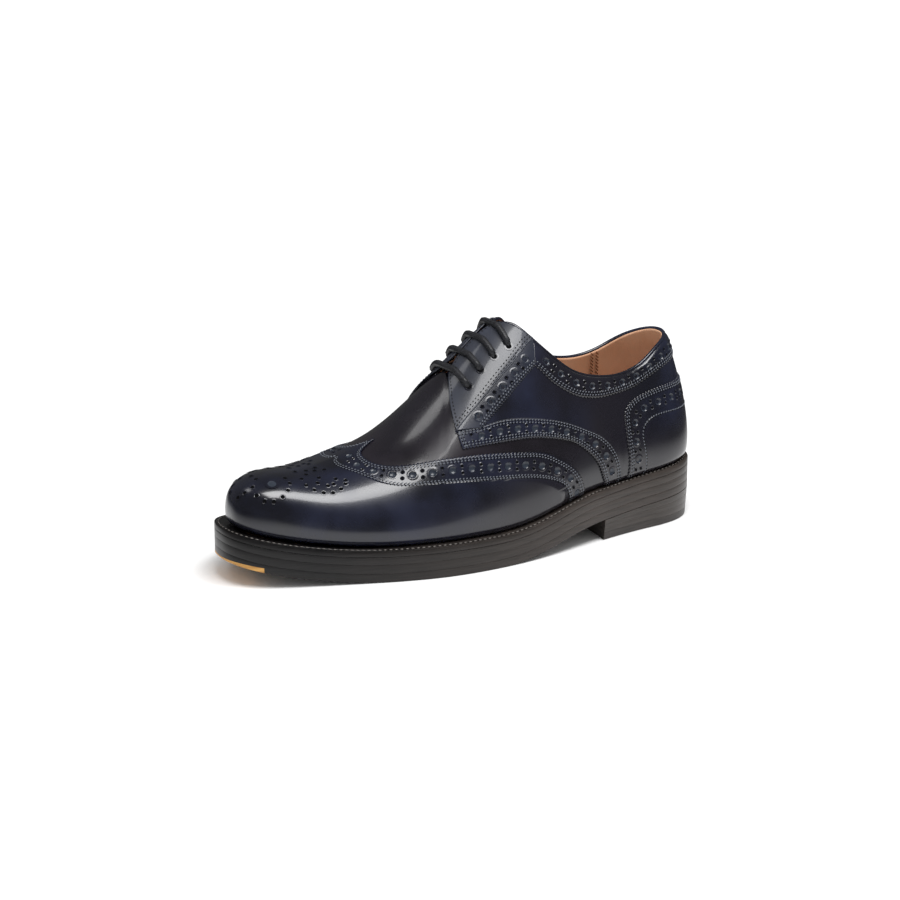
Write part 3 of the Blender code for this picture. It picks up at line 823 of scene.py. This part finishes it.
def ribs(side, level, height, steps, cross):
    """One side of the last, from the feather edge up to a height given for each station."""
    stations = np.linspace(0, 1, steps + 1)[:, None]
    rise = np.linspace(0, 1, cross + 1)[None, :] * height(stations)
    return on_last(stations, rise, side, level)


def under_edge(stations):
    """Closed over the toe, and a little short of the opening's edge where there is one."""
    top = opening(stations)
    closing = np.clip((top - CLOSED_FROM) / (1 - CLOSED_FROM), 0, 1)
    return top * (SHORT_OF_EDGE + (1 - SHORT_OF_EDGE) * closing)


vamp_patches = [ribs(side, BASE, under_edge, steps=140, cross=60) for side in BOTH]
lay("vamp", vamp_patches, VAMP_CALF, nodes=("upper",))


def lining_edge(stations):
    """Up to the topline, but not as far as the throat, where the tongue is."""
    return np.minimum(opening(stations), LINING_REACH)


lining_patches = [ribs(side, LINING, lining_edge, steps=120, cross=50) for side in BOTH]
lay("lining", lining_patches, LINING_CALF, thick=LINING_THICK, inward=True)

# %% [markdown]
# The winged cap runs from its tail at the waist to a point on the ridge. Its band carries
# the punches, and inside its double stitch the cap is plain apart from the medallion.

# %% Winged cap
TOE = line((1.0, 0.0), (1.0, 0.5), (1.0, 1.0))
patches, pits = both_sides(lambda side: banded("wing", TOE, side, rows=40))
lay("wing_cap_leather", patches, PUNCHED_NAVY, nodes=("wing_cap",), pits=pits)

# %% [markdown]
# Each quarter is one piece of calf from its punched front band back to the heel. The band is
# cut like the cap's. The plain leather behind it is a grid between the band and the collar.

# %% Quarters
QUARTER_FRONT_SHARE = 0.600


def quarter_patches(side):
    """The band along the quarter's foot, and the plain quarter behind it up to the collar."""
    s_in, r_in = QUARTER_IN(np.linspace(0, 1, 400))
    stations = np.linspace(0, station_of(QUARTER_FRONT_SHARE * SOLE_LENGTH), 121)[:, None]
    low = np.interp(stations, s_in, r_in, left=0.0)
    high = np.maximum(under_edge(stations), low)
    rise = low + (high - low) * np.linspace(0, 1, 51)[None, :]
    plain = on_last(stations, rise, side, FIRST)
    punched, centres = strip("quarter", side)
    return [punched, plain], centres


for side, word in SIDES:
    patches, pits = quarter_patches(side)
    lay(f"quarter_leather_{word}", patches, PUNCHED_NAVY, nodes=(f"quarter_{word}",), pits=pits)

# %% [markdown]
# The eyelet facings take the pull of the laces. They are a second layer on the quarters,
# painted a lighter grey as a painted reflection on the navy calf, with a darker punched band
# along the lower edge.

# %% Facings
FACING_LEATHERS = (FACING_CALF_PAINTED_REFLECTION, SLATE, BAND_CALF)
for side, word in SIDES:
    patches, pits = banded("facing", THROAT, side, rows=40, edge=EDGE_DROP)
    node = f"facing_{word}"
    lay(f"facing_leather_{word}", patches, FACING_LEATHERS, nodes=(node,), pits=pits, tones=(2, 0))

# %% [markdown]
# A band runs round the collar and a counter round the heel, both over the quarters. The
# collar band turns in over its top edge, as the cutter folds it over the lining.

# %% Collar band and counter
ROLL_DEPTH, ROLL_FROM = 1.7, 0.72


def rolled(v):
    """The collar turns in over its top edge."""
    return -ROLL_DEPTH * np.clip((v - ROLL_FROM) / (1 - ROLL_FROM), 0, 1) ** 2


bands, pits = zip(*[strip("collar", side, turned=rolled) for side in BOTH])
lay("collar_leather", bands, PUNCHED_NAVY, nodes=("collar_band",), pits=np.concatenate(pits))
COUNTER_FOOT = line((0.0, 0.0), (0.07, 0.0), (0.149, 0.0))
patches, pits = both_sides(lambda side: banded("counter", COUNTER_FOOT, side, rows=30))
lay("counter_leather", patches, PUNCHED_NAVY, nodes=("counter",), pits=pits)

# %% [markdown]
# A thin bead of leather closes the topline, and a folded edge parts the facing from its
# band. Both are tubes: a ring carried along a path.

# %% Tube helper and topline bead
def tube(path, radius, around=12, weave=None):
    """A patch of points round a path, closed at its ends."""
    run = unit(np.gradient(path, axis=0))
    fore = unit(np.cross(run, (0.0, 0.0, 1.0)))
    over = np.cross(fore, run)
    turn = np.linspace(0, 2 * np.pi, around + 1)[:, None]
    ring = fore[:, None] * np.cos(turn) + over[:, None] * np.sin(turn)
    reach = np.full((len(path), around + 1), radius)
    if weave is not None:
        reach = reach + weave(measure(path)[:, None], turn[:, 0])
    body = path[:, None] + ring * reach[..., None]
    caps = [np.stack([body[i], np.broadcast_to(path[i], body[i].shape)]) for i in (0, -1)]
    return [body, *caps]


BEAD, BEAD_LEVEL, FOLD = 1.2, -1.3, 0.42
halves = [on_last(*TOPLINE(np.linspace(0, 1, 260)), side, BEAD_LEVEL) for side in BOTH]
bead_path = np.concatenate([halves[0][::-1], halves[1][1:]])
lay("topline_bead", tube(bead_path, BEAD), NAVY_CALF, closed=True)
for side, word in SIDES:
    fold = on_last(*FACING_IN(np.linspace(0.02, 1, 160)), side, SECOND + 0.05)
    lay(f"facing_fold_{word}", tube(fold, FOLD, 8), FACING_CALF_PAINTED_REFLECTION, closed=True)

# %% [markdown]
# The tongue lies under the facings and closes the slot between them. It is one soft sheet,
# a little lower than the leather round it.

# %% Tongue
# Its sides by share of a rib, and its ends by share of the sole's length; the rear end leans
# forward towards the ridge. It lies under the facings, and lower still beside the slot.
TONGUE_SIDE, TONGUE_FRONT, TONGUE_REAR, TONGUE_LEAN = 0.66, 0.665, 0.430, 0.034
TONGUE_LEVEL, TONGUE_DROP = -4.1, 3.6
share = np.linspace(0, 1, 61)[:, None]
rise = np.linspace(TONGUE_SIDE, 1, 31)[None, :] + 0 * share
rear = TONGUE_REAR + TONGUE_LEAN * (rise - TONGUE_SIDE) / (1 - TONGUE_SIDE)
stations = station_of((rear + (TONGUE_FRONT - rear) * share) * SOLE_LENGTH)
sag = TONGUE_LEVEL - TONGUE_DROP * np.clip((0.97 - rise) / 0.12, 0, 1)
tongue_patches = [on_last(stations, rise, side, sag) for side in BOTH]
lay("tongue_leather", tongue_patches, NAVY_CALF, nodes=("tongue",), thick=TONGUE_THICK)

# %% [markdown]
# The lace is one round waxed cord. It lies as four straight bars over the facings, goes
# down through each punched eyelet, and runs up behind the facings to the next.

# %% Lace
# The eyelets from the front, by share of the sole's length and of a rib.
EYELETS = ((0.562, 0.708), (0.528, 0.728), (0.490, 0.724), (0.450, 0.706))
LACE_OVER = SECOND + LACE / 2 - 0.2
LACE_UNDER = LINING - LINING_THICK - LACE / 2 - 0.1
# A bar dips into its eyelet in this first share, and leaves the leather at this rise.
DIP_SHARE, BRIDGE_RISE = 0.10, 0.87
lace_points = []
for row, (along, rise) in enumerate(reversed(EYELETS)):
    share = np.linspace(0, 1, 61)
    eyelet = last_point(station_of(along * SOLE_LENGTH), rise, LATERAL)[0]
    ridge_along = (eyelet - SPINE_HEEL) / (SOLE_LENGTH - SPINE_TOE - SPINE_HEEL)
    station = station_of((along + (ridge_along - along) * share) * SOLE_LENGTH)
    dip = np.clip((DIP_SHARE - share) / DIP_SHARE, 0, 1) ** 2
    proud = LACE_OVER + (LACE_UNDER - LACE_OVER) * dip
    climb = rise + (1 - rise) * share
    near, far = [on_last(station, climb, side, proud) for side in BOTH]
    edge = int(np.argmax(climb > BRIDGE_RISE))
    gap = near[edge] + (far[edge] - near[edge]) * np.linspace(0, 1, 30)[:, None]
    bar = np.concatenate([near[:edge], gap, far[edge - 1 :: -1]])
    lace_points.append(bar if row % 2 == 0 else bar[::-1])
stations = station_of(np.linspace(EYELETS[0][0], EYELETS[-1][0], 60) * SOLE_LENGTH)
depth = LACE_UNDER - LACE * np.clip(np.linspace(0, 8, 60), 0, 1)
lace_points.append(on_last(stations, np.full(60, EYELETS[0][1] - 0.03), LATERAL, depth))
lace_path = np.concatenate(lace_points)
for _ in range(10):
    lace_path[1:-1] = (lace_path[:-2] + 2 * lace_path[1:-1] + lace_path[2:]) / 4
walked = measure(lace_path)
even = np.linspace(0, walked[-1], int(walked[-1] / 0.45))
lace_path = sample(even, walked, lace_path)


def lace_material():
    """Waxed cotton braided round a core; its threads are about 0.5 mm thick."""
    material, tree, shader, place = new_material("waxed_cotton_lace")
    weave = add_node(tree, "TexNoise", {"Vector": place, "Scale": 1000 / 0.7, "Detail": 2.0})
    dye = blend_colours(tree, weave.outputs["Fac"], 0.35, 0.65, "#0a0a0c", "#2a2b30")
    tree.links.new(dye, shader.inputs["Base Color"])
    shader.inputs["Roughness"].default_value = 0.45
    return material


def braid(along, turn):
    """Two sets of strands that cross, six each way."""
    return 0.2 * np.cos(3 * turn + along * 2.2) * np.cos(3 * turn - along * 2.2)


bars = ("lace_bar_1", "lace_bar_2", "lace_bar_3", "lace_bar_4")
lay("lace_cord", tube(lace_path, LACE / 2, 24, braid), lace_material(), bars, closed=True)
print("lace", round(walked[-1]), "mm on the shoe")

# %% [markdown]
# Stitches and pinholes are small shapes repeated along a line: one shape of a few faces is
# made by operators and copied to every place, turned to the line's run and the leather.


# %% Small shapes
def stitch_shape(length, width, height, slant, shade_size):
    """A plump stitch and, at its end, the needle hole that the next one leaves, as a disc of painted shade.
    """
    shape = bmesh.new()
    bmesh.ops.create_uvsphere(shape, u_segments=6, v_segments=4, radius=0.5)
    bmesh.ops.rotate(shape, cent=(0, 0, 0), matrix=Matrix.Rotation(math.pi / 2, 3, "Y"), verts=shape.verts)
    bmesh.ops.scale(shape, vec=(length, width, height), verts=shape.verts)
    if shade_size:
        # The needle hole is a flat disc, painted near black as painted shade.
        hole = bmesh.ops.create_circle(shape, segments=6, radius=shade_size, cap_ends=True)
        bmesh.ops.translate(shape, vec=(length / 2 + 0.25, 0, 0.02), verts=hole["verts"])
        for face in hole["verts"][0].link_faces:
            face.material_index = 1
    turn = Matrix.Rotation(math.radians(slant), 3, "Z")
    bmesh.ops.rotate(shape, cent=(0, 0, 0), matrix=turn, verts=shape.verts)
    return shape


def pinhole_shape(radius, lip=0.14):
    """A small crater: a lip of leather round a bottom painted dark as painted shade."""
    shape = bmesh.new()
    bmesh.ops.create_circle(shape, segments=12, radius=radius * 1.65, cap_ends=False)
    edges = list(shape.edges)
    for scale, lift in ((0.74, lip), (0.82, 0.04)):
        grown = bmesh.ops.extrude_edge_only(shape, edges=edges)
        ring = [v for v in grown["geom"] if isinstance(v, bmesh.types.BMVert)]
        edges = [e for e in grown["geom"] if isinstance(e, bmesh.types.BMEdge)]
        bmesh.ops.scale(shape, vec=(scale, scale, 1), verts=ring)
        bmesh.ops.translate(shape, vec=(0, 0, lift - ring[0].co.z), verts=ring)
    # The bottom is a flat face in the painted shade's material.
    floor = bmesh.ops.contextual_create(shape, geom=edges)
    for face in floor["faces"]:
        face.material_index = 1
    bmesh.ops.translate(shape, vec=(0, 0, 0.04), verts=shape.verts)
    bmesh.ops.recalc_face_normals(shape, faces=shape.faces)
    if floor["faces"][0].normal.z < 0:
        bmesh.ops.reverse_faces(shape, faces=shape.faces)
    return shape


def copies(name, shape, places, material):
    """One object of many copies of a small shape, doubled until there are enough."""
    points, runs, normals = (np.concatenate(each) for each in zip(*places))
    single = bpy.data.meshes.new("single")
    shape.to_mesh(single)
    shape.free()
    shape = bmesh.new()
    shape.from_mesh(single)
    bpy.data.meshes.remove(single)
    corners = np.array([tuple(v.co) for v in shape.verts])
    size = len(corners)
    while len(shape.verts) < size * len(points):
        missing = size * len(points) - len(shape.verts)
        shape.verts.ensure_lookup_table()
        part = shape.verts[: min(missing, len(shape.verts))]
        linked = (
            {edge for corner in part for edge in corner.link_edges},
            {face for corner in part for face in corner.link_faces},
        )
        edges, faces = (sorted(each, key=lambda one: one.index) for each in linked)
        bmesh.ops.duplicate(shape, geom=[*part, *edges, *faces])
        for parts in (shape.verts, shape.edges, shape.faces):
            parts.index_update()
    crosses = np.cross(normals, runs)
    turned = (
        points[:, None]
        + corners[None, :, :1] * runs[:, None]
        + corners[None, :, 1:2] * crosses[:, None]
        + corners[None, :, 2:] * normals[:, None]
    )
    for corner, place in zip(shape.verts, into_scene(turned).reshape(-1, 3)):
        corner.co = place
    piece = form_object(name, shape, material, sharp=60)
    return piece

# %% [markdown]
# Most edges have two close rows, sewn about a millimetre apart, some 12 stitches to 25 mm.
# The slate thread pulls at a slant; the facings are sewn with black, which shows as dashes.

# %% Stitch rows
# Length, width and height of a stitch, and the run from one to the next.
STITCH, STITCH_PITCH, DASH_PITCH = (1.35, 0.72, 0.6), 2.1, 2.5
NEEDLE_HOLE_SHADE = 0.42


def rows_of(outer, inner, insets, level, pitch):
    """Places along rows at distances in from a line, or from the inner one where negative."""
    rows = [middle_line(outer, inner, inset) for inset in insets]
    return [places_on(row, side, level + 0.05, pitch) for row in rows for side in BOTH]


EDGE_ROWS, INNER_ROWS = (1.2, 2.8), (-0.1, -1.7)
# Each slate or black stitch ends in a needle hole of painted shade.
SLATE_STITCH, BLACK_STITCH = (DARK_THREAD, HOLE_SHADE), (BLACK_THREAD, HOLE_SHADE)
QUARTER_FRONT = line((0.582, 0.429), (0.590, 0.483), (0.597, 0.538))
QUARTER_REAR = line((0.500, 0.345), (0.510, 0.390), (0.520, 0.440))
for name, (outer, inner, level), insets, slant, finish in (
    ("wing", BANDS["wing"][:3], EDGE_ROWS + INNER_ROWS, 35, SLATE_STITCH),
    ("quarter", BANDS["quarter"][:3], EDGE_ROWS + INNER_ROWS, 35, SLATE_STITCH),
    ("quarter_front", (QUARTER_FRONT, QUARTER_REAR, FIRST), EDGE_ROWS, 0, SLATE_STITCH),
    ("facing", BANDS["facing"][:3], EDGE_ROWS, 35, SLATE_STITCH),
    ("collar", BANDS["collar"][:3], EDGE_ROWS, 35, SLATE_STITCH),
    ("counter", BANDS["counter"][:3], EDGE_ROWS + INNER_ROWS[:1], 35, SLATE_STITCH),
    ("facing_inner", (FACING_IN, THROAT, SECOND), (1.4, 3.0), 0, BLACK_STITCH),
    ("throat", (THROAT, FACING_IN, SECOND), (2.2,), 0, BLACK_STITCH),
):
    plain = finish is BLACK_STITCH
    shape = stitch_shape(*STITCH, slant, 0 if plain else NEEDLE_HOLE_SHADE)
    pitch = DASH_PITCH if plain else STITCH_PITCH
    copies(f"{name}_stitches", shape, rows_of(outer, inner, insets, level, pitch), finish)

lining_seam = line((0.138, 0.282), (0.140, 0.235), (0.144, 0.170))
stations, rises = lining_seam(np.linspace(0, 1, 12))
found = []
for shift in (-0.006, 0.006):
    points, normals = seated(stations + shift, rises, MEDIAL, LINING - LINING_THICK - 0.05)
    found.append((points, unit(np.gradient(points, axis=0)), -normals))
copies("lining_stitches", stitch_shape(2.6, 0.9, 0.7, 35, NEEDLE_HOLE_SHADE), found, (TAN_THREAD, HOLE_SHADE))

# %% [markdown]
# Between each two large punches stand two pinholes, side by side, which is the usual
# pattern of a brogue's band.

# %% Pinholes between the punches
PIN_APART = 2.0


def pin_pairs(outer, inner, level, start):
    """Two pinholes side by side halfway between each two punches."""
    found = []
    for side in BOTH:
        points, runs, normals = places_on(middle_line(outer, inner), side, level, PUNCH_PITCH, start + 0.5)
        across = np.cross(normals, runs)
        for way in (-1, 1):
            found.append((points + across * way * PIN_APART, runs, normals))
    return found


pins = [place for band in BANDS.values() for place in pin_pairs(*band)]
# The pinholes' bottoms are painted shade.
copies("pinholes", pinhole_shape(0.85, 0.2), pins, [NAVY_CALF, HOLE_SHADE])

# %% [markdown]
# The toe carries a medallion: a ring of punches round one large one, a tail that curls to
# the rear and small punches round them, the same on both sides of the toe's middle.

# %% Medallion
MEDALLION = (
    (0.999, 0.398), (0.991, 0.298), (0.973, 0.212), (0.954, 0.170), (0.938, 0.184),
    (0.928, 0.256), (0.930, 0.354), (0.945, 0.460), (0.913, 0.474), (0.888, 0.423),
    (0.866, 0.396), (0.848, 0.398), (0.837, 0.440), (0.835, 0.496), (0.861, 0.504),
    (0.870, 0.487), (0.970, 0.526), (0.943, 0.568), (0.912, 0.604), (0.898, 0.524),
    (0.867, 0.568), (0.840, 0.532), (0.994, 0.209), (0.998, 0.142), (0.992, 0.682),
    (0.981, 0.730), (0.979, 0.791), (0.958, 0.730), (0.955, 0.652), (0.932, 0.730),
)


def on_table(rows, level):
    """Places on both sides of the shoe for rows of along and rise."""
    along, rise = np.array(rows).T
    found = []
    for side in BOTH:
        points, normals = seated(station_of(along * SOLE_LENGTH), rise, side, level)
        found.append((points, unit(np.cross(normals, (0.0, 1.0, 0.0))), normals))
    return found


# Small punches and eyelets have bottoms of painted shade; the large punch shows the slate backing.
copies("medallion_small", pinhole_shape(1.15, 0.2), on_table(MEDALLION, FIRST), [NAVY_CALF, HOLE_SHADE])
copies("medallion_large", pinhole_shape(2.5), on_table(((0.969, 0.393),), FIRST), [NAVY_CALF, SLATE])
copies("eyelet_holes", pinhole_shape(1.7, lip=0.1), on_table(EYELETS, SECOND), [NAVY_CALF, HOLE_SHADE])

# %% [markdown]
# The sole is built up in layers: welt, two middle layers and outsole. Each is a plate whose
# edge is trimmed, waxed and slightly rounded, so that thin grooves part the layers.

# %% Layers of the sole
SOLE_STATIONS = np.linspace(0, 1, 181)


def plate(name, rings, material, node, stations=SOLE_STATIONS):
    """A layer whose edge runs through rings of inset and height all round the sole."""
    walls = [np.array([sole_point(stations, side, *ring) for ring in rings]) for side in BOTH]
    faces = [np.stack([wall[i] for wall in walls]) for i in (0, -1)]
    ends = [np.stack([wall[:, i] for wall in walls]) for i in (0, -1)]
    lay(name, [*walls, *faces, *ends], material, (node,), closed=True, sharp=50)


def round_edge(inset, floor, thick, size=0.55):
    """A layer's edge, its two corners rounded in three steps."""
    turns = [math.radians(a) for a in (0, 30, 60, 90)]
    low = [(inset + size * (1 - math.sin(t)), floor + size * (1 - math.cos(t))) for t in turns]
    return [*low, *[(i, 2 * floor + thick - h) for i, h in reversed(low)]]


for name, floor, thick in (
    ("lower_midsole", LOWER_MIDSOLE_FLOOR - GAP, LOWER_MIDSOLE_THICK + GAP),
    ("upper_midsole", UPPER_MIDSOLE_FLOOR - GAP, UPPER_MIDSOLE_THICK + GAP),
):
    plate(f"{name}_edge", round_edge(0.0, floor, thick, 0.13), SOLE_EDGE, name)

# %% [markdown]
# The outsole is cut back under the toe, where a tan leather tip is let in, so its side has
# a step there. The tip is skived, so it thins to the front.

# %% Outsole and toe tip
cut = int(np.argmin(abs(along_of(SOLE_STATIONS) - (SOLE_LENGTH - TOE_TIP_LENGTH))))
profile = round_edge(0.0, 0.0, OUTSOLE_THICK, 0.2)
low_rings, high_rings = profile[:4], profile[4:]


TIP_REAR, TIP_THINNING = 2.9, 1.9


def tip_top(stations):
    """The tip is skived thinner to the front."""
    return TIP_REAR - TIP_THINNING * np.clip((stations - SOLE_STATIONS[cut]) / (1 - SOLE_STATIONS[cut]), 0, 1)


step = (0.0, tip_top(SOLE_STATIONS[cut]))
patches = []
for side in BOTH:
    back, front = SOLE_STATIONS[: cut + 1], SOLE_STATIONS[cut:]
    patches.append(np.array([sole_point(back, side, *r) for r in [*low_rings, step]]))
    patches.append(np.array([sole_point(back, side, *r) for r in [step, *high_rings]]))
    rings = [(0.0, tip_top(front)), *high_rings]
    patches.append(np.array([sole_point(front, side, *r) for r in rings]))
for span, ring in (
    (back, low_rings[0]),
    (front, (0.0, tip_top(front))),
    (SOLE_STATIONS, high_rings[-1]),
):
    patches.append(np.stack([sole_point(span, side, *ring) for side in BOTH]))
notch = [[sole_point(SOLE_STATIONS[cut], side, *r) for r in [*low_rings, step]] for side in BOTH]
patches.append(np.array(notch))
lay("outsole_leather", patches, SOLE_EDGE, ("outsole",), closed=True, sharp=50)
tip_stations = np.linspace(station_of(along_of(SOLE_STATIONS[cut]) + 0.1), 1, 60)
tip_rings = [*low_rings, (0.0, tip_top(tip_stations) - 0.05)]
plate("toe_tip_leather", tip_rings, TAN_EDGE, "toe_tip", tip_stations)

# %% [markdown]
# The welt is a strip round the sole, sewn through near its outer edge. Its stitches lie in
# a shallow groove, about eight to the inch, which is one every 3.2 mm.

# %% Welt and its stitches
# The seam's inset, the depth of its groove, its pitch, and how far the welt reaches inwards.
WELT_SEAM, GROOVE, WELT_PITCH, WELT_INSIDE = 2.3, 0.25, 3.2, 5.4
top = WELT_FLOOR + WELT_THICK
inside = ledge(SOLE_STATIONS) + WELT_INSIDE
welt_rings = [
    (0.0, WELT_FLOOR),
    (0.0, top - 0.8),
    (0.25, top - 0.25),
    (0.8, top),
    (WELT_SEAM - 0.6, top),
    (WELT_SEAM - 0.3, top - GROOVE),
    (WELT_SEAM + 0.3, top - GROOVE),
    (WELT_SEAM + 0.6, top),
    (inside, top),
    (inside, WELT_FLOOR),
    (0.0, WELT_FLOOR),
]
patches = [np.array([sole_point(SOLE_STATIONS, side, *r) for r in welt_rings]) for side in BOTH]
lay("welt_leather", patches, SOLE_EDGE, ("welt",), closed=True, sharp=40)
welt_seam = []
for side in BOTH:
    points = sole_point(np.linspace(0.03, 1.0, 1500), side, WELT_SEAM, top - 0.02)
    walked = measure(points)
    points = sample(np.arange(1.0, walked[-1], WELT_PITCH), walked, points)
    up = np.tile((0.0, 0.0, 1.0), (len(points), 1))
    welt_seam.append((points, unit(np.gradient(points, axis=0)), up))
welt_stitch = stitch_shape(2.1, 0.8, 0.7, 0, NEEDLE_HOLE_SHADE)
copies("welt_stitches", welt_stitch, welt_seam, (WELT_THREAD, HOLE_SHADE))

# %% [markdown]
# The heel is a stack of leather lifts on a rubber top piece. It tapers a little, and its
# breast is hollowed. Each layer is a grid between two heights that follow the seat.

# %% Heel
def heel_patches(low_inset, high_inset, floor, top_height, size):
    """One layer of the heel, between two heights that follow the seat of the shoe."""
    stations = np.linspace(0, station_of(HEEL_LENGTH), 41)
    shares = np.linspace(0, 1, 17)

    def level(inset, height):
        (a0, c0), (a1, c1) = (inset_point(stations, side, inset) for side in BOTH)
        along, across = (
            start[:, None] * (1 - shares) + end[:, None] * shares for start, end in ((a0, a1), (c0, c1))
        )
        hollow = 4 * shares * (1 - shares) * (stations[:, None] / stations[-1]) ** 4
        along = along - BREAST_HOLLOW * hollow
        return np.stack([along, across, height(along)], axis=-1)

    levels = [
        level(low_inset + size, floor),
        level(low_inset + size * 0.3, lambda a: floor(a) + size * 0.3),
        level(low_inset, lambda a: floor(a) + size),
        level(high_inset, lambda a: top_height(a) - 0.08),
        level(high_inset + 0.08, top_height),
    ]
    sides = [np.array([each[:, end] for each in levels]) for end in (0, -1)]
    return [levels[0], levels[-1], *sides, np.array([each[-1] for each in levels])]


def height_at(share):
    """Heights at a share of the way from the top piece to the seat."""
    return lambda along: TOP_PIECE_THICK + (sole_rise(along) - TOP_PIECE_THICK - GAP) * share


def heel_layer(name, low, high, floor, ceiling, size, material, slot):
    """Lays one layer of the heel; low and high are shares of its taper."""
    insets = [HEEL_TAPER * (1 - share) for share in (low, high)]
    patches = heel_patches(*insets, floor, ceiling, size)
    lay(f"{name}_leather", patches, material, (name,), closed=True, sharp=40)


# The top piece takes a quarter of the taper, and the lifts share the rest.
TOP_SHARE, TOP_ROUND, LIFT_ROUND, LIFT_GAP = 0.25, 0.4, 0.06, 0.02
top_layer = (0.0, TOP_SHARE, lambda along: along * 0, height_at(0), TOP_ROUND)
heel_layer("heel_top_piece", *top_layer, TOP_RUBBER, "edge_leather")
for i in range(HEEL_LIFTS):
    low, high = i / HEEL_LIFTS, (i + 1) / HEEL_LIFTS
    seat = height_at(low)
    taper = [TOP_SHARE + (1 - TOP_SHARE) * share for share in (low, high)]
    lift = (*taper, lambda along: seat(along) + LIFT_GAP, height_at(high), LIFT_ROUND)
    heel_layer(f"heel_lift_{i + 1}", *lift, HEEL_EDGE, "heel_leather")

# %% [markdown]
# Inside, a tan sock covers the insole. It is a thin plate that stops short of the lining.

# %% Insole sock
SOCK_INSIDE, SOCK_ROUND = 4.7, 0.4
sock_edge = ledge(SOLE_STATIONS) + SOCK_INSIDE
sock_top = FEATHER + INSOLE_PROUD
sock_rings = [
    (sock_edge, WELT_FLOOR + WELT_THICK - 0.2),
    (sock_edge, sock_top - SOCK_ROUND),
    (sock_edge + SOCK_ROUND, sock_top),
]
plate("insole_sock", sock_rings, SOCK_CALF, "insole")

# %% [markdown]
# The shoe stands on a plain pale floor under soft boxes, seen from its outer side and a
# little above. The camera's place was fitted to the outline of the sole and the upper.


# %% Floor, lights and camera
# Metres from the shoe over which the card turns white, and over which its mirror image darkens.
FADE, MIRROR_FADE = (0.35, 1.3), (0.22, 0.42)


def floor_material():
    """Matt white card, which fades into the white background away from the shoe."""
    material, tree, shader, place = new_material("matt_white_card")
    shader.inputs["Base Color"].default_value = linear("#f2f2f2")
    shader.inputs["Roughness"].default_value = 0.8
    shader.inputs["Emission Color"].default_value = (1, 1, 1, 1)
    away = add_node(tree, "VectorMath", {0: place}, operation="LENGTH")
    ends = {"From Min": FADE[0], "From Max": FADE[1]}
    fade = add_node(tree, "MapRange", {"Value": away.outputs["Value"], **ends})
    tree.links.new(fade.outputs["Result"], shader.inputs["Emission Strength"])
    rays = add_node(tree, "LightPath").outputs["Is Glossy Ray"]
    ends = {"From Min": MIRROR_FADE[0], "From Max": MIRROR_FADE[1]}
    far = add_node(tree, "MapRange", {"Value": away.outputs["Value"], **ends})
    both = add_node(tree, "Math", {0: rays, 1: far.outputs["Result"]}, operation="MULTIPLY")
    black = add_node(tree, "BsdfDiffuse", {"Color": (0.05, 0.05, 0.05, 1)})
    sheet = {0: both.outputs[0], 1: shader.outputs[0], 2: black.outputs[0]}
    out = tree.nodes["Material Output"]
    tree.links.new(add_node(tree, "MixShader", sheet).outputs[0], out.inputs["Surface"])
    return material


FLOOR_REACH, FLOOR_DROP = 6.0, 0.0002
form = bmesh.new()
bmesh.ops.create_grid(form, x_segments=1, y_segments=1, size=FLOOR_REACH)
mesh = bpy.data.meshes.new("floor")
form.to_mesh(mesh)
form.free()
mesh.materials.append(floor_material())
floor = bpy.data.objects.new("floor", mesh)
floor.location.z = -FLOOR_DROP
bpy.context.collection.objects.link(floor)


def soft_box(name, place, aim, size, power):
    """A rectangular light that faces a point, its size in metres and its power in watts."""
    light = bpy.data.lights.new(name, "AREA")
    light.shape, light.size, light.size_y = "RECTANGLE", *size
    light.energy = power
    lamp = bpy.data.objects.new(name, light)
    lamp.location = place
    lamp.rotation_euler = (Vector(place) - Vector(aim)).to_track_quat("Z", "Y").to_euler()
    bpy.context.collection.objects.link(lamp)


# A broad box overhead draws the long highlights, and a small one behind lights the far edge.
soft_box("top_box", (0.05, -0.45, 1.3), (0.0, 0.0, 0.05), (1.05, 0.56), 19)
soft_box("back_left_box", (-0.58, 0.52, 1.0), (-0.05, 0.0, 0.08), (0.3, 0.3), 0.95)

# The room's light, as much of it as the gloss mirrors, and the white that the camera sees.
ROOM, MIRRORED_ROOM, BACKGROUND = 0.62, 0.10, 1.0
world = bpy.data.worlds.new("studio")
bpy.context.scene.world = world
world.use_nodes = True
tree = world.node_tree
rays = add_node(tree, "LightPath")
room = tree.nodes["Background"]
room.inputs["Color"].default_value = (1, 1, 1, 1)
glossy = {"Value": rays.outputs["Is Glossy Ray"], "To Min": ROOM, "To Max": MIRRORED_ROOM}
shine = add_node(tree, "MapRange", glossy)
tree.links.new(shine.outputs["Result"], room.inputs["Strength"])
plain = add_node(tree, "Background", {"Color": (1, 1, 1, 1), "Strength": BACKGROUND})
seen = {0: rays.outputs["Is Camera Ray"], 1: room.outputs[0], 2: plain.outputs[0]}
tree.links.new(add_node(tree, "MixShader", seen).outputs[0], tree.nodes["World Output"].inputs["Surface"])

CAMERA_TURN, CAMERA_RISE = math.radians(-28.5), math.radians(16.35)
CAMERA_DISTANCE, CAMERA_LENS, CAMERA_SENSOR = 1.486, 100.2, 36.0
CAMERA_SHIFT, CAMERA_AIM = (-0.0128, 0.0117), (0.0, 0.0, 0.05)
back = Vector(
    (
        math.sin(CAMERA_TURN) * math.cos(CAMERA_RISE),
        -math.cos(CAMERA_TURN) * math.cos(CAMERA_RISE),
        math.sin(CAMERA_RISE),
    )
)
camera_data = bpy.data.cameras.new("camera")
camera_data.lens, camera_data.sensor_width = CAMERA_LENS, CAMERA_SENSOR
camera_data.shift_x, camera_data.shift_y = CAMERA_SHIFT
camera = bpy.data.objects.new("camera", camera_data)
camera.location = Vector(CAMERA_AIM) + back * CAMERA_DISTANCE
camera.rotation_euler = back.to_track_quat("Z", "Y").to_euler()
bpy.context.collection.objects.link(camera)
bpy.context.scene.camera = camera
bpy.context.scene.view_settings.view_transform = "Standard"
